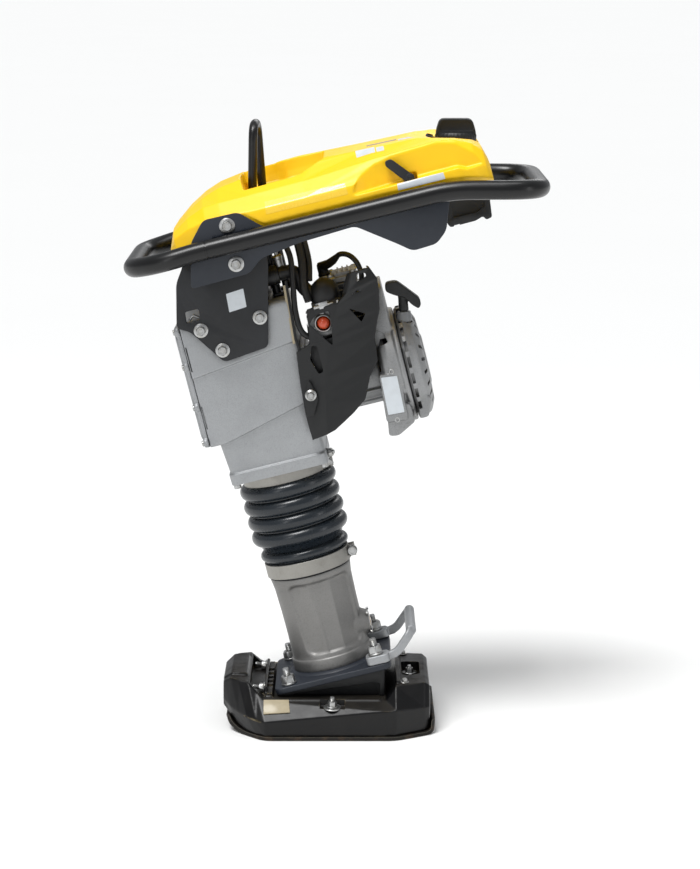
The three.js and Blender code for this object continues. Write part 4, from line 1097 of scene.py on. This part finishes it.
def fuel_tank():
    obj = made("tank_skin", loft([tank_ring(*s) for s in TANK_STATIONS]))
    seat = plate("y", [(17 + (x - 17) * 1.05, z + (3 if z > 720 else 0)) for x, z in SIDE_PLATE], 136, 150, 6)
    rim = rounded([(52, -98), (140, -97), (168, -82), (182, -72), (182, 60), (118, 62), (102, 70), (52, 70)], 5)
    trough = loft([[(117 + (x - 117) * w, -14 + (y + 14) * w, z) for x, y in rim]
                   for z, w in ((771, 0.93), (784, 0.985), (800, 1.02), (812, 1.04))])
    step = plate("z", rect(48, -60, 108, 60), 756, 780, 6)
    slot = plate("z", rect(48, -44, 94, 44), 690, 802, 8)
    dish = [(0, 0), (36.5, 0), (37.4, 3), (42, 5), (62, 9), (86, 13), (120, 20), (120, 60), (0, 60)]
    cap_well = moved(lathe("z", dish), ON_CAP)
    hub_pocket = plate("y", rect(296, 732, 317, 748), -134, -110, 3)
    carve(obj, seat, mirrored(seat), throttle_recess(), mirrored(throttle_recess()), trough, step, slot, cap_well,
          hub_pocket, mirrored(hub_pocket))
    cast(obj, 1.6, 3)
    carve(obj, moved(rod("z", 24, -34, 2, edge=0.1), ON_CAP))
    for side, name, _ in SIDES:
        low, high = sorted((side * 128, side * 146))
        decal = plate("y", [(80, 742), (209, 742), (208, 759), (82, 762)], low, high, 2)
        stuck_on(obj, decal, f"side_decal_{name}", "clear_decal", 0.25)
        label = plate("y", [(284, 729), (358, 729), (357, 739.5), (285, 739)], low, high, 1)
        stuck_on(obj, label, f"throttle_label_{name}", "blank_label")
    labels = [(249, -82, 15, 10, "blank_label"), (272, -84, 6, 8, "blank_label"),
              (276, -20, 24, 12, "heat_strip"), (324, -34, 22, 14, "blank_label")]
    for i, (x, y, wide, deep, finish) in enumerate(labels):
        flat = plate("z", rect(x - wide, y - deep, x + wide, y + deep), 776, 806, 1.5)
        stuck_on(obj, flat, f"top_label_{i + 1}", finish)
    place(obj, "handle", "yellow_hood", "fuel_tank", angle=50)


def tank_guard():
    outline = [(352, 701), (345.5, 653), (349, 646.5), (389, 647), (402, 651), (406, 644.5), (415.5, 646.5),
               (420.5, 690), (419, 701)]
    obj = made("guard_moulding", plate("y", outline, -62, 62, 3))
    panel = plate("y", [(360, 694), (356, 660), (396, 660), (410, 668), (412, 694)], -63, -58, 5)
    notch = plate("y", [(352, 640), (358, 655), (362, 655), (366, 640)], -63, -50)
    carve(obj, panel, mirrored(panel), notch, mirrored(notch),
          *[box((412, 424), (y - 8, y + 8), (652, 692)) for y in (-40, -14, 14, 40)])
    place(ease(obj, 1.4), "handle", "black_plastic", "tank_guard")


def fuel_cap():
    low = 3.3
    rings = []
    for z, r, deep in ((low, 31.4, 0), (low + 0.8, 32.4, 0.7), (low + 10, 32.7, 0.9), (low + 12, 31.6, 0.5),
                       (low + 15, 29.5, 0), (low + 16, 25, 0), (low + 16.2, 0, 0)):
        ring = []
        for i in range(180):
            a = 2 * math.pi * i / 180
            flute = deep * (0.5 + 0.5 * math.cos(30 * a))
            ring.append(((r - flute) * math.cos(a), (r - flute) * math.sin(a), z))
        rings.append(ring)
    skirt = loft(rings)
    outline = [(-31.6, low + 9.5), (31.6, low + 9.5), (30.6, low + 18), (25.4, low + 35.8), (-25.4, low + 35.8),
               (-30.6, low + 18)]
    grip = plate("y", outline, -12.6, 12.6, 8, 6)
    obj = made("cap_knob", merged(skirt, grip))
    hollow_side = plate("y", [(-28, low + 17), (28, low + 17), (23, low + 33), (-23, low + 33)], 9.4, 16, 7)
    carve(obj, hollow_side, mirrored(hollow_side))
    ease(obj, 0.8, 3, 40)
    place(obj, "cap", "black_plastic", "fuel_cap", at=LEG @ ON_CAP)
    piece("cap_plug", rod("z", 18.3, -15.5, low + 1), "cap", "black_plastic", at=LEG @ ON_CAP)
    gasket = lathe("z", [(19.8, 0.4), (29.4, 0.4), (30, 1.6), (29.4, 2.9), (19.8, 2.9)], closed=True)
    piece("cap_seal", gasket, "gasket", "black_rubber", "cap_gasket", at=LEG @ ON_CAP)
    loop = smooth_line([(372, -36, 779), (362, -40, 784), (352, -38, 789), (347, -30, 791), (349, -20, 792),
                        (356, -14, 788)])
    piece("cap_tether", tube(loop, 1.5, 10), "handle", "black_rubber")


def throttle_lever():
    hub = rod("y", 7.3, -133, -116.8, 306, 742)
    blade = plate("y", [(299, 738), (313, 744), (285, 777), (275, 776), (274, 769)], -131.6, -122.4, 4)
    cap = lathe("y", [(0, -134.4), (3.4, -134.4), (4, -133.6), (4, -132), (0, -132)], 306, 742)
    obj = made("lever", merged(hub, blade))
    ease(obj, 1.1, 2)
    place(obj, "throttle", "lever_plastic", "throttle_lever")
    piece("lever_screw", cap, "throttle", "bracket_paint")


fuel_tank()
tank_guard()
fuel_cap()
throttle_lever()

# ---------- engine ----------
SHAFT_Z = 447
PRIMER = (122, 553)


def air_filter():
    lower = plate("z", rect(-57, -69, 47, 69), 604.5, 652, 10)
    lid = plate("z", rect(-61, -73, 49, 73), 653, 685.6, 12)
    rim = plate("z", rect(-61.8, -73.8, 49.8, 73.8), 650, 656, 12)
    ribs = merged(*[box((x - 1.5, x + 1.5), (-73.6, 73.6), (657, 684)) for x in (-40, -20, 0, 20, 36)])
    duct = merged(pipe("x", 11, 14.8, 46, 71.6, -58, 640), pipe("x", 14, 16, 60, 66, -58, 640))
    piece("filter_box", merged(lower, rim, lid), "machine", "black_plastic", "air_filter_housing", bevel=1.2)
    piece("filter_ribs", ribs, "machine", "black_plastic", bevel=0.5)
    piece("filter_duct", duct, "machine", "black_rubber")
    clip = merged(box((-4, 4), (-75, -73), (646, 670)), tube(bent([(-5, -74.5, 668), (-5, -77, 676, 2),
                  (5, -77, 676, 2), (5, -74.5, 668)]), 1, 8))
    fitting("filter_clips", both(clip), bevel=0.2)


def engine_block():
    deck = plate("z", rect(118, -44, 189, 44), 488, 499.8, 6)
    bell = lathe("x", [(44.4, 75.6), (52, 75.6), (52, 80), (50.5, 83), (50.5, 106), (47, 112), (46, 118),
                       (46, 186), (44, 189), (35.4, 189), (35.4, 178), (11.4, 178), (11.4, 108), (44.4, 108)],
                 0, SHAFT_Z, 96, closed=True)
    mount = merged(box((75.6, 84), (-80, 80), (455, 522)), box((83, 90), (-76, 76), (470, 476)),
                   box((83, 90), (-76, 76), (500, 506)))
    webs = merged(*[spun(box((80, 186), (-3, 3), (SHAFT_Z - 51, SHAFT_Z - 40)), a, "X", (0, 0, SHAFT_Z))
                    for a in (-60, -30, 0, 30, 60)])
    box_up = plate("x", rect(-42, SHAFT_Z + 12, 42, 490), 120, 188, 4)
    obj = made("engine_block_skin", merged(bell, mount, webs, deck, box_up))
    cast(obj, 1.8, 2)
    carve(obj, rod("z", 22.4, 440, 505, 154, 0, edge=0.1), rod("x", 35, 130, 178, 0, SHAFT_Z, edge=0.1),
          rod("x", 44.4, 70, 96, 0, SHAFT_Z, edge=0.1))
    place(obj, "machine", "engine_casting", "engine_crankcase", angle=45)
    circle = bolt_circle((35, 145, 215, 325), 57)
    bolts = [aimed(flange_bolt(8), (83.4, y, z), (1, 0, 0)) for y, z in circle]
    ears = merged(*[rod("x", 8, 76, 83.4, y, z) for y, z in circle])
    piece("bell_ears", ears, "machine", "engine_casting")
    fitting("bell_bolts", *bolts)


def engine_cylinder():
    base = 500.4
    outline = rounded(rect(113, -46, 188.6, 46), 11)
    fins = [plate("z", outline, base + 4 + 9.4 * i, base + 6.2 + 9.4 * i) for i in range(11)]
    barrel = rod("z", 31, base, 603, 154, 0, edge=0.2)
    obj = made("fins", merged(barrel, *fins))
    ease(obj, 0.6, 2, 50)
    carve(obj, rod("z", 22, base - 2, 590, 154, 0, edge=0.1))
    place(obj, "machine", "engine_casting", "engine_cylinder")
    cover = plate("z", rect(144, -44, 189, 30), 603, 610, 8)
    rocker = plate("z", rect(150, -38, 187, 20), 609, 617, 8)
    ribs = merged(*[box((x - 1, x + 1), (-34, 16), (616, 620)) for x in (160, 168, 176)])
    head = made("head_cover", merged(cover, rocker, ribs))
    cast(head, 1.0, 2)
    place(head, "machine", "engine_casting", angle=45)
    bolt = flange_bolt(9)
    studs = [shifted(bolt, x, y, 609.5) for x, y in ((148, -40), (185, -40), (148, 26), (185, 26))]
    fitting("head_bolts", *studs)


def spark_plug():
    plug = merged(rod("z", 7, 604.5, 608, 138, -4), shifted(hexagon(18, 7), 138, -4, 607),
                  rod("z", 4.9, 613, 623.6, 138, -4))
    piece("plug_body", plug, "machine", "zinc_steel", "spark_plug")
    boot = made("plug_boot", merged(
        lathe("z", [(5.5, 614.4), (9.4, 614.4), (9.4, 617), (8.4, 619), (8.4, 628), (8.2, 632), (6, 636), (0, 637)],
              138, -4, 40),
        tube([(138, -4, 629), (150, -14, 632), (158, -21, 636), (165, -28, 641)], [7.8, 6.9, 6.4, 4.8], 28)))
    cast(boot, 0.8, 2)
    place(boot, "machine", "black_rubber", "ignition_lead", angle=60)
    route = smooth_line([(160, -23, 638), (172, -36, 644.5), (185, -50, 641), (194, -59, 629), (197, -63, 612),
                         (194, -63, 598), (187, -63, 588)], 10)
    piece("plug_lead", tube(route, 4.2, 20), "machine", "black_rubber", angle=60)


def fan_housing():
    drum = lathe("x", [(82.4, 229), (90, 229), (92, 227), (92, 222), (89, 221), (88, 206), (84, 196), (76, 191),
                       (14.4, 190), (14.4, 194), (74, 194.6), (82.4, 199)], 0, SHAFT_Z, 128, closed=True)
    duct = plate("x", [(-68, SHAFT_Z), (68, SHAFT_Z), (56, 587), (-56, 587)], 190.4, 221.6, 12)
    pad = plate("y", [(180, 376), (214, 372), (218, 446), (186, 452)], -88, -56, 4)
    foot = plate("y", [(178, 353), (193, 350), (224, 366), (222, 396), (186, 400)], -84, -44, 5)
    ears = merged(*[rod("x", 7, 192, 228.6, y, z) for y, z in bolt_circle((200, 235, 305, 340), 84)])
    obj = made("fan_shell", merged(drum, duct, pad, foot, ears))
    cast(obj, 1.6, 2)
    room = lathe("x", [(0, 195), (73, 195), (81.5, 200), (81.5, 234), (0, 234)], 0, SHAFT_Z, 96)
    window = plate("y", [(196, 520), (208, 512), (212, 496), (192, 492)], -100, -60, 3)
    carve(obj, room, rod("x", 14, 186, 196, 0, SHAFT_Z, edge=0.1), window)
    place(obj, "machine", "engine_casting", "fan_housing", angle=45)
    label = plate("y", [(185, 387), (211, 385.5), (213, 444), (188, 447)], -88.9, -88.3, 1.5)
    piece("engine_label", label, "machine", "blank_label")
    screws = [aimed(socket_screw(4.4, 4), (x, -84.2, z), (0, -1, 0)) for x, z in ((197, 376), (206, 452))]
    fitting("fan_screws", *screws)


ROPE_EXIT = Vector((243, -40, 510))
ALONG_ROPE = Matrix.Translation(ROPE_EXIT) @ Matrix.Rotation(math.radians(9.5), 4, "Y")


def starter_housing():
    back = 233
    dish = lathe("x", [(84, 230), (88, 230), (88, back), (91.6, back + 1), (91.6, back + 7), (89, back + 10),
                       (84, back + 19), (79, back + 22), (66, back + 27.6), (40, back + 29), (37, back + 30.6),
                       (0, back + 31), (0, back + 26.4), (46, back + 22), (49, back + 4), (84, back + 0.6)],
                 0, SHAFT_Z, 128, closed=True)
    circle = bolt_circle((-125, 155, 35, -35), 82)
    bosses = merged(*[rod("x", 8, 230.4, back + 12, y, z) for y, z in circle])
    sleeve = moved(rod("z", 15, -24, 6), ALONG_ROPE)
    lower_ear = plate("y", [(231, 366), (246, 366), (258, 396), (236, 402)], -70, -34, 4)
    obj = made("starter_dish", merged(dish, bosses, sleeve, lower_ear))
    cast(obj, 1.5, 2)
    slots = []
    for k in range(22):
        degrees = 360 / 22 * (k + 0.5)
        slots.append(spun(box((back + 1.5, back + 6.6), (84.5, 96), (-8.6, 8.6)), degrees, "X"))
        slots.append(spun(box((back + 16, back + 34), (52, 76), (-2.6, 2.6)), degrees, "X"))
    carve(obj, merged(*[shifted(s, z=SHAFT_Z) for s in slots]), moved(rod("z", 12.6, -24, 40, edge=0.1), ALONG_ROPE))
    pin = rod("x", 6, back + 4, back + 28, 0, SHAFT_Z)
    combine(obj, pin, "UNION")
    place(obj, "machine", "engine_casting", "starter_housing", angle=45)
    screw = merged(washer(6, 2, 1), socket_screw(4.2, 4))
    screws = [aimed(screw, (back + 11.6, y, z), (1, 0, 0)) for y, z in circle]
    fitting("starter_screws", *screws)


def starter_rope_parts():
    guide = lathe("z", [(4.2, -21.6), (8, -21.6), (8, 5), (12, 9), (12.2, 14), (10.6, 23.4), (9.8, 24), (4.2, 24)],
                  sides=48, closed=True)
    piece("guide_sleeve", moved(guide, ALONG_ROPE), "machine", "guide_plastic", "rope_guide")
    strands = []
    for k in range(3):
        turn = 2 * math.pi * k / 3
        strands.append(tube([(0.9 * math.cos(turn + 0.55 * i), 0.9 * math.sin(turn + 0.55 * i), -21.5 + 0.5 * i)
                             for i in range(106)], 1.05, 8))
    rope = made("rope_strands", moved(merged(*strands), ALONG_ROPE))
    place(rope, None, "rope", "starter_rope", angle=80)
    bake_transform(rope)
    stem = lathe("z", [(2.4, 24.4), (7.4, 24.4), (8, 26), (7.4, 44), (8.4, 56), (0, 58)], sides=40)
    bar = plate("y", [(-27, 58), (-26, 72), (-8, 73.5), (26, 44), (28, 34), (24, 27), (12, 35), (4, 47),
                              (-10, 50)], -11, 11, 6)
    grip = made("grip_moulding", moved(merged(stem, bar), ALONG_ROPE))
    cast(grip, 0.9, 5)
    place(grip, "grip", "black_plastic", "starter_grip", angle=60)


# Rows of the shroud from its foot to its top: x and z of the left edge, of the crease where the face
# folds, and of the right edge, and how far the right edge lies back.
SHROUD_ROWS = (
    ((61, 378), (86, 382), (99, 385), -100), ((60, 400), (91, 411), (133, 404), -98),
    ((60, 420), (95, 430), (157, 421), -96), ((62, 446), (98, 447), (172, 453), -93),
    ((64, 470), (106, 472), (190, 474), -90), ((70, 519), (119, 514), (194, 511), -88),
    ((93, 527), (126, 529), (203, 532), -86), ((98, 555), (138, 555), (212, 551), -84),
    ((102, 580), (150, 578), (218, 580), -83), ((160, 588), (170, 592), (220, 599), -83),
    ((176, 620), (184, 621), (212, 619), -83),
)


def engine_shroud():
    rings = []
    for left, crease, right, depth in SHROUD_ROWS:
        outer = [(left, -97.5), (crease, -103.8), (right, depth), ((right[0] - 2, right[1] + 1), -62)]
        inner = [(((x - 4, z + 1) if i > 1 else (x, z)), y + (3.6 if i < 3 else 0))
                 for i, ((x, z), y) in enumerate(outer)][::-1]
        rings.append([(x, y, z) for (x, z), y in outer + inner])
    obj = made("shroud_skin", loft(rings))
    cast(obj, 1.3, 3)
    carve(obj, plate("y", [(100, 556), (112, 568), (135, 571), (134, 548), (128, 516)], -112, -90, 4),
          plate("y", [(88, 503), (96, 478), (104, 480), (104, 521), (96, 524)], -112, -90, 3),
          plate("y", [(166, 566), (189, 551), (180, 540)], -112, -76, 2))
    place(obj, "machine", "black_plastic", "engine_shroud", angle=30)
    lobe = plate("y", [(62, 419), (66, 446), (79, 474), (84, 452), (86, 441), (72, 416)], -106.5, -99, 4)
    piece("shroud_lobe", lobe, "machine", "black_plastic", bevel=1.2)
    piece("shroud_bolt", aimed(merged(washer(9, 4, 1.4), shifted(flange_bolt(10), z=1.4)), (76, -106.4, 449.5),
                               (0, -1, 0)), "machine", "zinc_steel")
    rail = loft([[(79, -88, 630), (83, -88, 630), (83, -84, 630), (79, -84, 630)],
                 [(72, -93, 538), (76, -93, 538), (76, -84, 538), (72, -84, 538)],
                 [(74, -97, 512), (78, -97, 512), (78, -84, 512), (74, -84, 512)]])
    piece("side_rail", rail, "machine", "black_plastic", bevel=0.6)
    strip = loft([[(75, -88, 624), (79, -88, 624), (79, -86, 624), (75, -86, 624)],
                  [(68, -91.6, 532), (72, -91.6, 532), (72, -90, 532), (68, -90, 532)]])
    piece("heat_shield_strip", strip, "machine", "heat_strip", bevel=0.3)


def fuel_system():
    body = plate("x", rect(-89.6, 531, -62, 569), 98.4, 141.6, 4)
    flange = plate("x", rect(-64, 535, -48.4, 563), 108.4, 129.6, 3)
    stack = rod("z", 14, 567, 575.6, 134, -76)
    obj = made("carburetor_casting", merged(body, flange, stack, rod("z", 7, 524, 532, 110, -76)))
    cast(obj, 1.0, 2)
    carve(obj, rod("y", 11.4, -94, -80, *PRIMER, edge=0.1))
    place(obj, "machine", "engine_casting", "carburetor", angle=45)
    bulb = lathe("y", [(0, -85.2), (10, -85.2), (10.4, -87), (10.2, -91), (9.6, -94), (8, -97.4), (5.4, -99.6),
                       (2.6, -100.7), (0, -100.9)], *PRIMER)
    piece("primer_dome", bulb, "primer", "primer_red", "primer_bulb", angle=70)
    ring = lathe("y", [(10.9, -90.5), (13.6, -91), (14.6, -94), (13.2, -97.8), (11.8, -98.4), (11.1, -96)], *PRIMER,
                 closed=True)
    tabs = merged(*[spun(box((PRIMER[0] - 3, PRIMER[0] + 3), (-94, -91), (PRIMER[1] + 11, PRIMER[1] + 18.5)),
                         a, "Y", (PRIMER[0], 0, PRIMER[1])) for a in (5, 125, 245)])
    fitting("primer_ring", ring, tabs, bevel=0.4)
    back = plate("y", [(90, 500), (96, 474), (108, 474), (146, 520), (150, 574), (98, 574)], -90, -62, 3)
    inner = made("shroud_liner", back)
    carve(inner, box((96, 144), (-95, -40), (527, 573)))
    place(ease(inner, 0.8), "machine", "black_plastic")
    dome = lathe("z", [(0, 576.3), (23.6, 576.3), (24, 578), (24, 585), (22.8, 587), (23.6, 590), (22.8, 598),
                       (20.8, 605), (17, 611.6), (12.6, 616), (7, 619), (0, 620)], 135, -72.5, 72)
    piece("intake_dome", dome, "machine", "black_rubber", "intake_boot", angle=70)
    clamp = lathe("z", [(24.2, 578.6), (25, 578.6), (25.2, 579.2), (25.2, 584.4), (25, 585), (24.2, 585)], 135,
                  -72.5, 72, closed=True)
    screw = merged(rod("x", 2.6, 113, 150, -98.6, 580), aimed(hexagon(7, 4), (150, -98.6, 580), (1, 0, 0)),
                   box((122, 136), (-101, -96), (576, 586)))
    fitting("dome_clamp", clamp, screw, bevel=0.3)
    hose = bent([(72.4, -58, 640), (97, -58, 640, 12), (104, -66, 608, 14), (122, -72, 592)], 10)
    piece("intake_hose", tube(hose, 11, 32), "machine", "black_rubber", angle=60)
    lines = (("fuel_hose", [(92, -64, 690), (96, -70, 660), (90, -80, 620), (84, -86, 580), (86, -90, 548),
                            (100, -88, 532)], 4.6),
             ("return_hose", [(112, -54, 694), (112, -62, 655), (106, -76, 615), (108, -84, 590)], 6.4),
             ("vent_hose", [(122, -48, 694), (122, -56, 650), (116, -70, 620)], 5))
    for name, points, radius in lines:
        hose = place(made(name, tube(smooth_line(points), radius, 24)), None, "black_rubber", angle=70)
        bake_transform(hose)
    filt = lathe("z", [(0, 640), (6.5, 640), (8, 642), (8, 646), (7.2, 647), (7.2, 662), (8, 663), (8, 667),
                       (6, 669), (0, 669)], 75, -52, 48)
    fitting("fuel_filter", filt, rod("z", 3, 632, 676, 75, -52))


def muffler():
    can = plate("x", rect(64.4, 500.4, 117.6, 589.6), 105, 179, 15)
    seam = plate("x", rect(62.8, 499, 118, 590), 140, 143, 16)
    neck = box((132.4, 155.6), (47.6, 66), (530.4, 551.6))
    outlet = pipe("y", 7, 9, 112, 126, 166, 512)
    shell = made("muffler_can", merged(can, seam, neck, outlet))
    ease(shell, 1.0, 2)
    place(shell, "machine", "machined_steel", "muffler")
    guard = made("muffler_guard", plate("y", rect(110, 505, 174, 585), 118.6, 120.2, 6))
    holes = [plate("y", rect(x, z, x + 22, z + 4), 116, 124, 1.9)
             for x in (116, 145) for z in range(524, 580, 9)]
    carve(guard, merged(*holes))
    place(ease(guard, 0.4), "machine", "black_tube")


air_filter()
engine_block()
engine_cylinder()
spark_plug()
fan_housing()
starter_housing()
starter_rope_parts()
engine_shroud()
fuel_system()
muffler()

# ---------- inner works, carried over from the CAD model ----------
INNER = {
    "cylinder_neck": "machined_steel", "piston_rod": "machined_steel", "wrist_pin": "machined_steel",
    "connecting_rod": "case_casting", "crank_pin": "machined_steel", "crank_gear": "machined_steel",
    "crank_bearing": "machined_steel", "clutch_drum": "machined_steel", "pinion_bearing": "machined_steel",
    "guide_bush": "bush_bronze", "crankshaft": "machined_steel", "flywheel": "engine_casting",
    "starter_pulley": "black_plastic",
}
for node, finish in INNER.items():
    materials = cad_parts[node].data.materials
    materials.clear()
    materials.append(FINISHES[finish])
